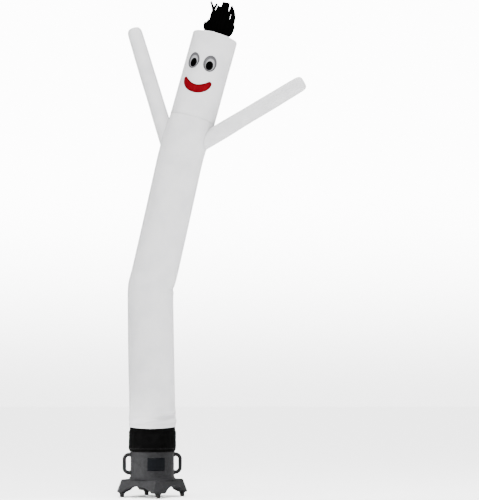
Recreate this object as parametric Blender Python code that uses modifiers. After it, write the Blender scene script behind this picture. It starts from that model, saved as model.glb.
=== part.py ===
"""Inflatable air dancer: a white cloth tube figure blown up over its small round blower.

Metres, +Z up, the viewer at -Y. Every piece is modelled about the blower's axis, and one
empty then sets the middle of the whole footprint at the origin.
"""
import math

import bmesh
import bpy
from mathutils import Matrix, Vector

# Where the blower's axis stands from the middle of the whole footprint
BLOWER_X = -0.3895
BLOWER_Y = 0.0082

# Clearances and cloth
GAP = 0.0003
CLOTH = 0.0012
CUFF_CLOTH = 0.0015
PATCH = 0.0012

# Every round tube has this many sides, turned so that a flat faces the blower's corners
SIDES = 36
STEP = 2 * math.pi / SIDES
BLOWER_TURN = math.radians(13.6)
FIRST_SIDE = BLOWER_TURN - STEP / 2

# White tube
TUBE_RADIUS = 0.1515
HEM_BOTTOM = 0.437
SHOULDER_SEAM = 2.100
NECK_X = 0.2606
NECK_Z = 2.500
HEAD_LEAN = 15.2
SEAM_DRAW = 0.0025
SEAM_REACH = 0.014

# Centre line of the body tube: height, sideways place, lean of the section in degrees
SPINE = (
    (HEM_BOTTOM, 0.0, 0.0),
    (0.52, -0.0005, -0.4),
    (0.80, -0.007, -1.0),
    (1.27, -0.0160, -0.5),
    (1.378, -0.0133, 6.2),
    (1.46, 0.0075, 12.0),
    (1.70, 0.0610, 12.4),
    (2.10, 0.1495, 12.6),
    (2.22, 0.1760, 13.6),
    (2.30, 0.1970, 15.6),
    (2.40, 0.2297, 17.0),
    (NECK_Z, NECK_X, HEAD_LEAN),
)

# The tube is two lengths of cloth, which meet under the arms. Heights of their sections:
# start, end, how many
BODY_STATIONS = (
    (HEM_BOTTOM, 0.450, 2),
    (0.459, 0.558, 10),
    (0.590, 1.255, 4),
    (1.300, 1.345, 3),
    (1.360, 1.408, 5),
    (1.430, 1.480, 2),
    (1.620, SHOULDER_SEAM - GAP, 4),
)
SHOULDER_STATIONS = (
    (SHOULDER_SEAM, 2.160, 2),
    (2.235, 2.470, 5),
    (NECK_Z, NECK_Z, 1),
)

# Folds of the body: turn and height of the middle in degrees and metres, reach round and
# up, depth outward, rise in metres for each radian round
FOLDS = (
    ("hem roll right", -18.0, 0.494, 40.0, 0.014, 0.0055, 0.000),
    ("ridge over the hem", -50.0, 0.538, 36.0, 0.011, 0.0045, 0.014),
    ("trough over the hem", -56.0, 0.512, 44.0, 0.011, -0.0070, 0.010),
    ("long ridge left", -112.0, 0.492, 46.0, 0.011, 0.0040, 0.018),
    ("trough left", -122.0, 0.515, 40.0, 0.012, -0.0035, 0.016),
    ("ridge at the back", 95.0, 0.530, 48.0, 0.012, 0.0045, -0.014),
    ("trough at the back", 108.0, 0.505, 50.0, 0.011, -0.0060, -0.010),
    ("back hem roll", 60.0, 0.480, 40.0, 0.012, 0.0035, 0.006),
    ("bend crease", 0.0, 1.374, 48.0, 0.015, -0.0100, 0.000),
    ("bend roll above", 4.0, 1.402, 44.0, 0.014, 0.0040, 0.000),
    ("bend roll below", -6.0, 1.346, 44.0, 0.014, 0.0030, 0.000),
    ("pull left of the bend", -140.0, 1.800, 16.0, 0.150, -0.0035, 0.060),
    ("pull under the left arm", -130.0, 2.290, 20.0, 0.060, -0.0050, 0.050),
    ("pull under the right arm", -62.0, 2.270, 18.0, 0.060, -0.0045, -0.060),
    ("crease under the neck", -85.0, 2.452, 36.0, 0.016, -0.0050, 0.016),
    ("back pull", 100.0, 2.330, 24.0, 0.070, -0.0050, 0.040),
    ("soft hollow low", -70.0, 0.900, 28.0, 0.220, -0.0020, 0.000),
    ("soft hollow back", 70.0, 1.150, 30.0, 0.260, -0.0025, 0.000),
)

# Head: up the tube and over the flat top panel, height from the neck and radius
HEAD_HEIGHT = 0.569
SEAT_HEIGHT = HEAD_HEIGHT + 0.0140
VENT_RADIUS = 0.048
HEAD_PROFILE = (
    (0.0003, TUBE_RADIUS - SEAM_DRAW),
    (0.014, TUBE_RADIUS),
    (0.120, TUBE_RADIUS),
    (0.330, TUBE_RADIUS),
    (HEAD_HEIGHT - 0.009, TUBE_RADIUS),
    (HEAD_HEIGHT - 0.002, TUBE_RADIUS - 0.0028),
    (HEAD_HEIGHT + 0.0015, TUBE_RADIUS - 0.0090),
    (HEAD_HEIGHT + 0.0090, 0.112),
    (SEAT_HEIGHT, 0.080),
    (SEAT_HEIGHT, VENT_RADIUS),
)

# Face: the dancer looks a little to the viewer's left
FACE_TURN = -102.0
EYE_HEIGHT = 0.360
EYE_SPREAD = 21.9
EYE_HALF_WIDTH = 0.0410
EYE_HALF_HEIGHT = 0.0520
PUPIL_TURN = -1.2
PUPIL_DROP = 0.0125
PUPIL_HALF_WIDTH = 0.0225
PUPIL_HALF_HEIGHT = 0.0288
OVAL_SIDES = 22
MOUTH_SPREAD = 37.5
MOUTH_CORNER = 0.2380
MOUTH_TOP = 0.2110
MOUTH_BOTTOM = 0.1605
MOUTH_TIP_RADIUS = 0.0095
MOUTH_STEPS = 12

# How far a patch's blank runs past its outline, and where its cutter starts and ends, as
# shares of the radius
PATCH_MARGIN = 0.02
CUTTER_START = 0.35
CUTTER_END = 1.20

# Arms: a point inside the body, the tip, and the sleeve's radius along that line
LEFT_ARM_START = (0.138, 0.031, 2.208)
LEFT_ARM_TIP = (-0.144, 0.106, 3.130)
RIGHT_ARM_START = (0.268, -0.019, 2.300)
RIGHT_ARM_TIP = (0.995, -0.207, 2.712)
ARM_SIDES = 20
ARM_BORE_REACH = 0.62
TRUNK_CORE_HEAD = (0.02, 0.20)
ARM_PROFILE = (
    (0.00, 0.0550),
    (0.30, 0.0550),
    (0.44, 0.0535),
    (0.62, 0.0530),
    (0.80, 0.0520),
    (0.945, 0.0505),
    (0.972, 0.0475),
    (0.990, 0.0410),
    (0.998, 0.0320),
    (1.000, 0.0140),
)

# Black sleeve between the white tube and the blower: height and radius
CUFF_PROFILE = (
    (0.2935, 0.1449),
    (0.2975, 0.1474),
    (0.3020, 0.1501),
    (0.3100, 0.1520),
    (0.3400, 0.1526),
    (0.3950, 0.1520),
    (0.4230, 0.1522),
    (0.4320, 0.1514),
    (0.4360, 0.1498),
    (0.4560, 0.1498),
)

# Blower
BARREL_RADIUS = 0.1427
WALL = 0.0060
BASE_TOP = 0.115
BASE_ROUNDING = 0.004
SKIRT_BOTTOM = 0.034
BASE_HALF_BOTTOM = 0.187
BASE_HALF_TOP = 0.155
CORNER_HALF_BOTTOM = 0.035
CORNER_HALF_TOP = 0.017
FLARE_RADIUS = 0.163
FLARE_TOP = 0.147
FLARE_STEPS = 3
LOWER_BEAD = 0.3055
LOWER_BEAD_RISE = 0.0036
UPPER_BEAD = 0.3465
UPPER_BEAD_RISE = 0.0046
BEAD_HALF = 0.0046
BAND_SEAT = 0.0050
BAND_RADIUS = 0.1412
BAND_RISE = 0.0008
RIM_TOP = 0.372
RIM_DRAFT = 0.0016
RIM_ROUNDING = 0.0020
ARCH_HALF_WIDTH = 0.1165
ARCH_PEAK = 0.078
ARCH_SIDES = 56
LEG_BOTTOM = 0.031
LEG_TOP = 0.086
LEG_SINK = 0.0030
LEG_HOLE = 0.1400
NOTCH_WIDTH = 0.018
NOTCH_DEPTH = 0.009

# Feet
FOOT_REACH = 0.200
FOOT_SIDES = 20
FOOT_PROFILE = (
    (0.0225, LEG_BOTTOM - GAP),
    (0.0225, 0.0270),
    (0.0160, 0.0210),
    (0.0132, 0.0020),
    (0.0120, 0.0000),
)

# Handles
HANDLE_REACH = 0.186
HANDLE_BAR = 0.0110
HANDLE_TOP = 0.2754
HANDLE_BOTTOM = 0.158
HANDLE_CORNER = 0.031
HANDLE_ROOT_SWELL = 1.30
HANDLE_SINK = 0.0040
HANDLE_ROOT_REACH = 0.0030
HANDLE_CORNER_STEPS = 5

# Bare plate and rivets on the barrel
PLATE_BOTTOM = 0.173
PLATE_TOP = 0.257
PLATE_SPREAD = 23.5
PLATE_THICK = 0.0010
RIVET_HEIGHTS = (0.2029, 0.2229)
RIVET_RADIUS = 0.0032
RIVET_RISE = 0.0020
RIVET_SIDES = 12
RIVET_STEPS = 3
RIVET_TIP_SHARE = 0.12

# Hair: inner and outer radius of the ring that holds the strips, its thickness
HAIR_INNER = 0.050
HAIR_OUTER = 0.076
HAIR_RING = 0.0030
STRIP_CLOTH = 0.0016
HAIR_RING_SIDES = 24
STRIP_STEPS = 5
STRIP_SWELL = 0.45
STRIP_ROOT_SINK = 0.4
STRIP_BEND = 0.58
STRIP_BOW = 0.006
STRIP_DROOP = 0.02
STRIP_STAND = 0.10
STRIP_TWIST = 0.75

# Hair strips: turn and reach of the root, then the tip across, behind and above the seat,
# and the width at root and tip
STRIPS = (
    (180.0, 0.066, -0.100, -0.004, 0.064, 0.024, 0.012),
    (206.0, 0.066, -0.071, -0.058, 0.110, 0.024, 0.010),
    (232.0, 0.066, -0.050, -0.074, 0.206, 0.024, 0.006),
    (258.0, 0.066, -0.030, -0.082, 0.193, 0.026, 0.026),
    (284.0, 0.066, 0.010, -0.086, 0.233, 0.027, 0.040),
    (310.0, 0.066, 0.048, -0.074, 0.226, 0.026, 0.007),
    (336.0, 0.066, 0.089, -0.046, 0.166, 0.026, 0.014),
    (2.0, 0.066, 0.099, 0.000, 0.082, 0.025, 0.014),
    (28.0, 0.066, 0.094, 0.038, 0.120, 0.025, 0.012),
    (54.0, 0.066, 0.065, 0.070, 0.172, 0.025, 0.018),
    (80.0, 0.066, 0.024, 0.086, 0.200, 0.026, 0.022),
    (106.0, 0.066, -0.012, 0.084, 0.170, 0.026, 0.020),
    (132.0, 0.066, -0.045, 0.072, 0.140, 0.025, 0.010),
    (156.0, 0.066, -0.088, 0.034, 0.216, 0.022, 0.004),
    (218.0, 0.055, -0.040, -0.034, 0.150, 0.022, 0.018),
    (262.0, 0.055, -0.008, -0.045, 0.170, 0.024, 0.026),
    (300.0, 0.055, 0.030, -0.038, 0.205, 0.024, 0.022),
    (345.0, 0.055, 0.066, -0.010, 0.185, 0.024, 0.012),
    (40.0, 0.055, 0.048, 0.030, 0.190, 0.024, 0.016),
    (95.0, 0.055, 0.000, 0.040, 0.185, 0.026, 0.024),
)

# Colours and finish: red, green, blue, roughness
FINISHES = {
    "white ripstop": (0.76, 0.76, 0.76, 0.55),
    "black cuff cloth": (0.006, 0.006, 0.007, 0.80),
    "black strip cloth": (0.004, 0.004, 0.004, 0.60),
    "grey applique": (0.42, 0.42, 0.42, 0.60),
    "black applique": (0.006, 0.006, 0.006, 0.60),
    "red applique": (0.33, 0.004, 0.006, 0.60),
    "moulded housing": (0.045, 0.045, 0.047, 0.55),
    "foot plastic": (0.012, 0.012, 0.012, 0.60),
    "ribbed strip": (0.018, 0.020, 0.024, 0.75),
    "bare plate": (0.004, 0.004, 0.004, 0.35),
    "dark rivet": (0.010, 0.010, 0.010, 0.40),
}


def clear_scene():
    for item in list(bpy.data.objects):
        bpy.data.objects.remove(item, do_unlink=True)


def make_collection(name):
    collection = bpy.data.collections.new(name)
    bpy.context.scene.collection.children.link(collection)
    return collection


def finish(name):
    """The Principled material of one finish, made once."""
    material = bpy.data.materials.get(name)
    if material:
        return material
    red, green, blue, roughness = FINISHES[name]
    material = bpy.data.materials.new(name)
    material.use_nodes = True
    shader = material.node_tree.nodes["Principled BSDF"]
    shader.inputs["Base Color"].default_value = (red, green, blue, 1.0)
    shader.inputs["Roughness"].default_value = roughness
    material.diffuse_color = (red, green, blue, 1.0)
    return material


def add_object(name, mesh, collection, anchor):
    item = bpy.data.objects.new(name, mesh)
    collection.objects.link(item)
    item.parent = anchor
    return item


def add_part(name, mesh, look, sharp=35.0):
    """A visible piece with its own material, shaded smooth between sharp edges."""
    item = add_object(name, mesh, parts, anchor)
    mesh.materials.append(finish(look))
    mesh.shade_smooth()
    mesh.set_sharp_from_angle(angle=math.radians(sharp))
    return item


def add_guide(name, mesh):
    """A cutter, which the finished object doesn't show."""
    item = add_object(name, mesh, guides, anchor)
    item.hide_render = True
    item.display_type = "WIRE"
    return item


def bmesh_to_mesh(name, bm):
    bmesh.ops.recalc_face_normals(bm, faces=bm.faces)
    mesh = bpy.data.meshes.new(name)
    bm.to_mesh(mesh)
    bm.free()
    return mesh


def loft(name, rings, ends="open"):
    """A skin over rings of equal point counts: open, capped, round (last ring joins the first)
    or tip (only the last ring is closed)."""
    bm = bmesh.new()
    rows = [[bm.verts.new(point) for point in ring] for ring in rings]
    pairs = list(zip(rows, rows[1:]))
    if ends == "round":
        pairs.append((rows[-1], rows[0]))
    for low, high in pairs:
        count = len(low)
        for i in range(count):
            j = (i + 1) % count
            bm.faces.new((low[i], low[j], high[j], high[i]))
    if ends == "capped":
        bm.faces.new(list(reversed(rows[0])))
    if ends in ("capped", "tip"):
        bm.faces.new(rows[-1])
    mesh = bpy.data.meshes.new(name)
    if ends in ("capped", "round"):
        bmesh.ops.recalc_face_normals(bm, faces=bm.faces)
    bm.to_mesh(mesh)
    bm.free()
    return mesh


def thicken(item, thickness, outward=False):
    """Gives an open sheet its thickness, inward unless told otherwise."""
    solidify = item.modifiers.new("sheet thickness", "SOLIDIFY")
    solidify.thickness = thickness
    solidify.offset = 1.0 if outward else -1.0
    solidify.use_even_offset = True
    return solidify


def combine(item, other, operation, solver="EXACT"):
    boolean = item.modifiers.new(other.name, "BOOLEAN")
    boolean.operation = operation
    boolean.solver = solver
    boolean.object = other
    return boolean


def smooth_row(rows, height):
    """Smooth values between the rows of a table whose first column is the height."""
    if height <= rows[0][0]:
        return rows[0][1:]
    if height >= rows[-1][0]:
        return rows[-1][1:]
    last = len(rows) - 1
    k = max(i for i in range(last) if rows[i][0] <= height)
    low, high = rows[k], rows[k + 1]
    before, after = rows[max(k - 1, 0)], rows[min(k + 2, last)]
    span = high[0] - low[0]
    t = (height - low[0]) / span
    values = []
    for column in range(1, len(low)):
        slope_low = (high[column] - before[column]) / (high[0] - before[0])
        slope_high = (after[column] - low[column]) / (after[0] - low[0])
        values.append(
            low[column] * (2 * t**3 - 3 * t**2 + 1)
            + slope_low * span * (t**3 - 2 * t**2 + t)
            + high[column] * (3 * t**2 - 2 * t**3)
            + slope_high * span * (t**3 - t**2)
        )
    return values


def ring_angles(sides=SIDES, first=FIRST_SIDE):
    return [first + 2 * math.pi * i / sides for i in range(sides)]


def fold_depth(angle, height):
    """How far all the folds together push the cloth out at one place."""
    total = 0.0
    for _, turn, middle, reach_round, reach_up, depth, rise in FOLDS:
        away = math.remainder(angle - math.radians(turn), 2 * math.pi)
        up = height - middle - rise * away
        total += depth * math.exp(-(away / math.radians(reach_round)) ** 2 - (up / reach_up) ** 2)
    return total


def seam_draw(height):
    """The neck seam pulls the tube in a little."""
    return SEAM_DRAW * math.exp(-((NECK_Z - height) / SEAM_REACH) ** 2)


def body_ring(height, grow=0.0):
    centre_x, lean = smooth_row(SPINE, height)
    lean = math.radians(lean)
    across = Vector((math.cos(lean), 0, -math.sin(lean)))
    centre = Vector((centre_x, 0, height))
    points = []
    for angle in ring_angles():
        radius = TUBE_RADIUS + grow + fold_depth(angle, height) - seam_draw(height)
        points.append(centre + radius * (math.cos(angle) * across + math.sin(angle) * Vector((0, 1, 0))))
    return points


def section_heights(stations):
    heights = []
    for start, end, count in stations:
        heights += [start + (end - start) * i / max(count - 1, 1) for i in range(count)]
    return heights


def head_frame():
    """Places a piece made on the head's axis: x across, y behind, z up the head."""
    return Matrix.Translation((NECK_X, 0, NECK_Z)) @ Matrix.Rotation(math.radians(HEAD_LEAN), 4, "Y")


def round_ring(height, radius, sides=SIDES, first=FIRST_SIDE):
    return [Vector((radius * math.cos(a), radius * math.sin(a), height)) for a in ring_angles(sides, first)]


def on_head(rings):
    frame = head_frame()
    return [[frame @ point for point in ring] for ring in rings]


def make_tube(name, stations):
    """One length of the white tube."""
    mesh = loft(name, [body_ring(height) for height in section_heights(stations)])
    tube = add_part(name, mesh, "white ripstop")
    thicken(tube, CLOTH)
    return tube


def make_head():
    rings = on_head([round_ring(height, radius) for height, radius in HEAD_PROFILE])
    head = add_part("head", loft("head", rings), "white ripstop")
    thicken(head, CLOTH)
    return head


def make_trunk_core():
    """The closed form of shoulders and neck, a gap larger all round, that trims the sleeves."""
    low = [body_ring(height, GAP) for height in section_heights(SHOULDER_STATIONS)]
    high = on_head([round_ring(height, TUBE_RADIUS + GAP) for height in TRUNK_CORE_HEAD])
    return add_guide("trunk core", loft("trunk core", low + high, "capped"))


def arm_rings(start, tip, shrink=0.0, reach=1.0):
    start, tip = Vector(start), Vector(tip)
    line = tip - start
    turn = line.to_track_quat("Z", "X")
    rings = []
    for share, radius in ARM_PROFILE:
        if share <= reach:
            centre = start + line * share
            ring = round_ring(0.0, radius - shrink, ARM_SIDES, 0.0)
            rings.append([centre + turn @ point for point in ring])
    return rings


def make_arm(name, start, tip, shoulders, trunk_core):
    """A sleeve cut to the side of the shoulders, over a hole in their wall."""
    arm = add_part(name, loft(name, arm_rings(start, tip), "tip"), "white ripstop")
    thicken(arm, CLOTH)
    combine(arm, trunk_core, "DIFFERENCE")
    bore = loft(name + " bore", arm_rings(start, tip, CLOTH, ARM_BORE_REACH), "capped")
    combine(shoulders, add_guide(name + " bore", bore), "DIFFERENCE")
    return arm


def prism_guide(name, outline, turn, near, far):
    """A closed prism whose outline, across and up, faces outward at one turn round the axis."""
    bm = bmesh.new()
    face = bm.faces.new([bm.verts.new((across, near, up)) for across, up in outline])
    grown = bmesh.ops.extrude_face_region(bm, geom=[face])
    moved = [part for part in grown["geom"] if isinstance(part, bmesh.types.BMVert)]
    bmesh.ops.translate(bm, verts=moved, vec=(0, far - near, 0))
    bmesh.ops.rotate(bm, verts=bm.verts, matrix=Matrix.Rotation(math.radians(turn - 90.0), 3, "Z"))
    return bmesh_to_mesh(name, bm)


def patch_on_tube(name, look, radius, thickness, low, high, outline, turn, frame=None):
    """A thin piece that follows the tube's own sides, cut to an outline."""
    rings = [round_ring(low, radius), round_ring(high, radius)]
    if frame:
        rings = [[frame @ point for point in ring] for ring in rings]
    patch = add_part(name, loft(name, rings), look)
    thicken(patch, thickness, outward=True)
    prism = prism_guide(name + " outline", outline, turn, radius * CUTTER_START, radius * CUTTER_END)
    if frame:
        prism.transform(frame)
    combine(patch, add_guide(name + " outline", prism), "INTERSECT")
    return patch


def oval(across, up, half_width, half_height):
    points = []
    for i in range(OVAL_SIDES):
        angle = 2 * math.pi * (i + 0.5) / OVAL_SIDES
        points.append((across + half_width * math.cos(angle), up + half_height * math.sin(angle)))
    return points


def half_oval(half_width, depth, start, end, steps):
    """Points along a hanging half oval below the mouth's corners."""
    points = []
    for i in range(steps + 1):
        turn = math.radians(start + (end - start) * i / steps)
        points.append((half_width * math.sin(turn), MOUTH_CORNER - depth * math.cos(turn)))
    return points


def mouth_outline():
    """A smile: a deep lower curve, a shallower upper one and round tips."""
    half = TUBE_RADIUS * math.sin(math.radians(MOUTH_SPREAD))
    inner = half - 2 * MOUTH_TIP_RADIUS
    tip = half - MOUTH_TIP_RADIUS
    right = []
    for degrees in (35, 90, 145):
        turn = math.radians(degrees)
        right.append((tip + MOUTH_TIP_RADIUS * math.cos(turn), MOUTH_CORNER + MOUTH_TIP_RADIUS * math.sin(turn)))
    left = [(-across, up) for across, up in reversed(right)]
    lower = half_oval(half, MOUTH_CORNER - MOUTH_BOTTOM, -90, 90, MOUTH_STEPS)
    upper = half_oval(inner, MOUTH_CORNER - MOUTH_TOP, 90, -90, MOUTH_STEPS - 2)
    return lower + right + upper + left


def make_face():
    frame = head_frame()
    eye_layer = TUBE_RADIUS + GAP
    pupil_layer = eye_layer + PATCH + GAP
    for side, name in ((-1, "left"), (1, "right")):
        turn = FACE_TURN + side * EYE_SPREAD
        eye = oval(0, EYE_HEIGHT, EYE_HALF_WIDTH, EYE_HALF_HEIGHT)
        reach = EYE_HALF_HEIGHT + PATCH_MARGIN
        low, high = EYE_HEIGHT - reach, EYE_HEIGHT + reach
        patch_on_tube("eye_" + name, "grey applique", eye_layer, PATCH, low, high, eye, turn, frame)
        middle = EYE_HEIGHT - PUPIL_DROP
        pupil = oval(0, middle, PUPIL_HALF_WIDTH, PUPIL_HALF_HEIGHT)
        patch_on_tube("pupil_" + name, "black applique", pupil_layer, PATCH, low, high, pupil,
                      turn + PUPIL_TURN, frame)
    patch_on_tube("mouth", "red applique", eye_layer, PATCH, MOUTH_BOTTOM - PATCH_MARGIN,
                  MOUTH_CORNER + 2 * PATCH_MARGIN, mouth_outline(), FACE_TURN, frame)


def strip_mesh(name, turn, reach, tip_across, tip_behind, tip_above, root_width, tip_width):
    """One cut strip: four sided, up from the ring and over to its tip."""
    turn = math.radians(turn)
    out = Vector((math.cos(turn), math.sin(turn), 0))
    round_way = Vector((-math.sin(turn), math.cos(turn), 0))
    if round_way.x < 0:
        round_way = -round_way
    root = out * reach + Vector((0, 0, SEAT_HEIGHT + GAP + HAIR_RING * STRIP_ROOT_SINK))
    tip = Vector((tip_across, tip_behind, SEAT_HEIGHT + tip_above))
    middle = root.lerp(tip, STRIP_BEND)
    middle += out * STRIP_BOW - Vector((0, 0, STRIP_DROOP * tip_above))
    middle.x += STRIP_STAND * (root.x - tip.x)
    rings = []
    for i in range(STRIP_STEPS + 1):
        t = i / STRIP_STEPS
        centre = root * (1 - t) ** 2 + middle * 2 * t * (1 - t) + tip * t * t
        way = (middle - root) * (1 - t) + (tip - middle) * t if i else Vector((0, 0, 1))
        wide = round_way.lerp(Vector((1, 0, 0)), STRIP_TWIST * t)
        wide = (wide - wide.project(way)).normalized()
        thick = way.normalized().cross(wide)
        half = (root_width * (1 - t) + tip_width * t) / 2
        swell = 1 + STRIP_SWELL * math.sin(math.pi * t)
        side, face = wide * half * swell, thick * STRIP_CLOTH / 2
        rings.append([centre - side - face, centre + side - face, centre + side + face, centre - side + face])
    return loft(name, on_head(rings), "capped")


def make_hair():
    """Cut strips that stand in the air stream, fused at their roots to a flat ring."""
    low, high = SEAT_HEIGHT + GAP, SEAT_HEIGHT + GAP + HAIR_RING
    section = ((low, HAIR_INNER), (low, HAIR_OUTER), (high, HAIR_OUTER), (high, HAIR_INNER))
    ring = on_head([round_ring(height, radius, HAIR_RING_SIDES, 0.0) for height, radius in section])
    hair = add_part("hair", loft("hair", ring, "round"), "black strip cloth")
    for i, row in enumerate(STRIPS):
        name = "strip %d" % (i + 1)
        combine(hair, add_guide(name, strip_mesh(name, *row)), "UNION")
    return hair


def make_cuff():
    rings = [round_ring(height, radius) for height, radius in CUFF_PROFILE]
    cuff = add_part("cuff", loft("cuff", rings), "black cuff cloth")
    thicken(cuff, CUFF_CLOTH)
    return cuff


def corner_cut_square(height, half, corner_half, shrink=0.0):
    """A square section with cut corners and as many points as a round one."""
    half -= shrink
    leg = corner_half * math.sqrt(2)
    reach = half - leg + shrink * (math.sqrt(2) - 1)
    per_side = SIDES // 4
    points = []
    for quarter in range(4):
        turn = BLOWER_TURN + math.radians(45 + 90 * quarter)
        for i in range(per_side):
            along = -reach + 2 * reach * i / (per_side - 1)
            points.append(Matrix.Rotation(turn, 3, "Z") @ Vector((half, along, height)))
    return points


def base_section(height, shrink=0.0):
    share = (height - SKIRT_BOTTOM) / (BASE_TOP - SKIRT_BOTTOM)
    half = BASE_HALF_BOTTOM + (BASE_HALF_TOP - BASE_HALF_BOTTOM) * share
    corner = CORNER_HALF_BOTTOM + (CORNER_HALF_TOP - CORNER_HALF_BOTTOM) * share
    return corner_cut_square(height, half, corner, shrink)


def bead(height, rise):
    """The outer points of a round bead on the barrel, from low to high."""
    shoulder, shoulder_rise = BEAD_HALF * 0.6, rise * 0.75
    return [
        (height - shoulder, BARREL_RADIUS + shoulder_rise),
        (height, BARREL_RADIUS + rise),
        (height + shoulder, BARREL_RADIUS + shoulder_rise),
    ]


def flare_profile():
    """The hollow curve between the base's top and the barrel."""
    flare_height, flare_width = FLARE_TOP - BASE_TOP, FLARE_RADIUS - BARREL_RADIUS
    profile = [(BASE_TOP + GAP, FLARE_RADIUS)]
    for i in range(1, FLARE_STEPS + 1):
        turn = math.pi / 2 * i / FLARE_STEPS
        profile.append((
            BASE_TOP + flare_height * (1 - math.cos(turn)),
            BARREL_RADIUS + flare_width * (1 - math.sin(turn)),
        ))
    return profile


def make_barrel_core():
    """The barrel's closed form, a gap larger, that trims the handles' roots."""
    profile = flare_profile() + [(LOWER_BEAD - BAND_SEAT, BARREL_RADIUS)]
    rings = [round_ring(height, radius + GAP) for height, radius in profile]
    return add_guide("barrel core", loft("barrel core", rings, "capped"))


def housing_rings():
    """Up the outside of the moulding, over the rim and down its inside."""
    rings = [base_section(SKIRT_BOTTOM), base_section(BASE_TOP - BASE_ROUNDING)]
    rings.append(base_section(BASE_TOP, BASE_ROUNDING))
    rim_radius = BARREL_RADIUS - RIM_DRAFT
    profile = flare_profile() + [(LOWER_BEAD - BEAD_HALF, BARREL_RADIUS)]
    profile += bead(LOWER_BEAD, LOWER_BEAD_RISE)
    profile += [(LOWER_BEAD + BAND_SEAT, BAND_RADIUS), (UPPER_BEAD - BAND_SEAT, BAND_RADIUS)]
    profile += bead(UPPER_BEAD, UPPER_BEAD_RISE)
    profile += [(UPPER_BEAD + BAND_SEAT, rim_radius), (RIM_TOP - RIM_ROUNDING, rim_radius)]
    profile += [(RIM_TOP, rim_radius - RIM_ROUNDING), (RIM_TOP, BARREL_RADIUS - WALL)]
    profile += [(FLARE_TOP, BARREL_RADIUS - WALL), (BASE_TOP - WALL / 2, FLARE_RADIUS - 2 * WALL)]
    rings += [round_ring(height, radius) for height, radius in profile]
    rings += [base_section(BASE_TOP - WALL, WALL), base_section(SKIRT_BOTTOM, WALL)]
    return rings


def cylinder_mesh(name, radius, depth, sides, place):
    bm = bmesh.new()
    bmesh.ops.create_cone(bm, cap_ends=True, segments=sides, radius1=radius, radius2=radius, depth=depth,
                          matrix=place)
    return bmesh_to_mesh(name, bm)


def corner_turn(index):
    return BLOWER_TURN + math.radians(90 * index)


def make_legs():
    """The four corner legs inside the skirt, before the arches are cut through them."""
    block = [base_section(height, LEG_SINK) for height in (LEG_BOTTOM, LEG_TOP)]
    legs = add_guide("legs", loft("legs", block, "capped"))
    ends = (LEG_BOTTOM - WALL, LEG_TOP + WALL)
    hole = [round_ring(height, LEG_HOLE, SIDES, BLOWER_TURN) for height in ends]
    combine(legs, add_guide("leg hole", loft("leg hole", hole, "capped")), "DIFFERENCE")
    return legs


def make_housing():
    housing = add_part("blower_housing", loft("blower_housing", housing_rings(), "round"), "moulded housing")
    combine(housing, make_legs(), "UNION", "MANIFOLD")
    rise = ARCH_PEAK - SKIRT_BOTTOM
    arch_radius = (ARCH_HALF_WIDTH ** 2 + rise ** 2) / (2 * rise)
    for index in range(2):
        turn = corner_turn(index) + math.radians(45)
        half_side = Matrix.Rotation(math.pi / ARCH_SIDES, 4, "Z")
        lie = Matrix.Rotation(turn, 4, "Z") @ Matrix.Rotation(math.pi / 2, 4, "Y") @ half_side
        arch_place = Matrix.Translation((0, 0, ARCH_PEAK - arch_radius)) @ lie
        name = "arch %d" % (index + 1)
        arch = cylinder_mesh(name, arch_radius, 3 * BASE_HALF_BOTTOM, ARCH_SIDES, arch_place)
        combine(housing, add_guide(name, arch), "DIFFERENCE", "MANIFOLD")
        name = "notch %d" % (index + 1)
        bm = bmesh.new()
        size = Matrix.Diagonal((3 * BARREL_RADIUS, NOTCH_WIDTH, 2 * NOTCH_DEPTH, 1))
        notch_place = Matrix.Translation((0, 0, RIM_TOP)) @ Matrix.Rotation(corner_turn(index), 4, "Z")
        bmesh.ops.create_cube(bm, size=1.0, matrix=notch_place @ size)
        combine(housing, add_guide(name, bmesh_to_mesh(name, bm)), "DIFFERENCE", "MANIFOLD")
    return housing


def make_grip_band():
    low, high = LOWER_BEAD + BAND_SEAT + GAP, UPPER_BEAD - BAND_SEAT - GAP
    inner, outer = BAND_RADIUS + GAP, BARREL_RADIUS + BAND_RISE
    section = ((low, inner), (low, outer), (high, outer), (high, inner))
    rings = [round_ring(height, radius) for height, radius in section]
    return add_part("grip_band", loft("grip_band", rings, "round"), "ribbed strip")


def handle_route():
    """Out from the barrel, down and back: reach from the axis, height and swell of the bar."""
    start = HANDLE_REACH - HANDLE_CORNER
    roots = (BARREL_RADIUS - HANDLE_SINK, BARREL_RADIUS + HANDLE_ROOT_REACH)
    route = [(reach, HANDLE_TOP, HANDLE_ROOT_SWELL) for reach in roots]
    for i in range(HANDLE_CORNER_STEPS + 1):
        turn = math.pi / 2 * i / HANDLE_CORNER_STEPS
        route.append((start + HANDLE_CORNER * math.sin(turn),
                      HANDLE_TOP - HANDLE_CORNER * (1 - math.cos(turn)), 1.0))
    lower = [(reach, HANDLE_TOP + HANDLE_BOTTOM - height, swell) for reach, height, swell in reversed(route)]
    return route + lower


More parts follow.
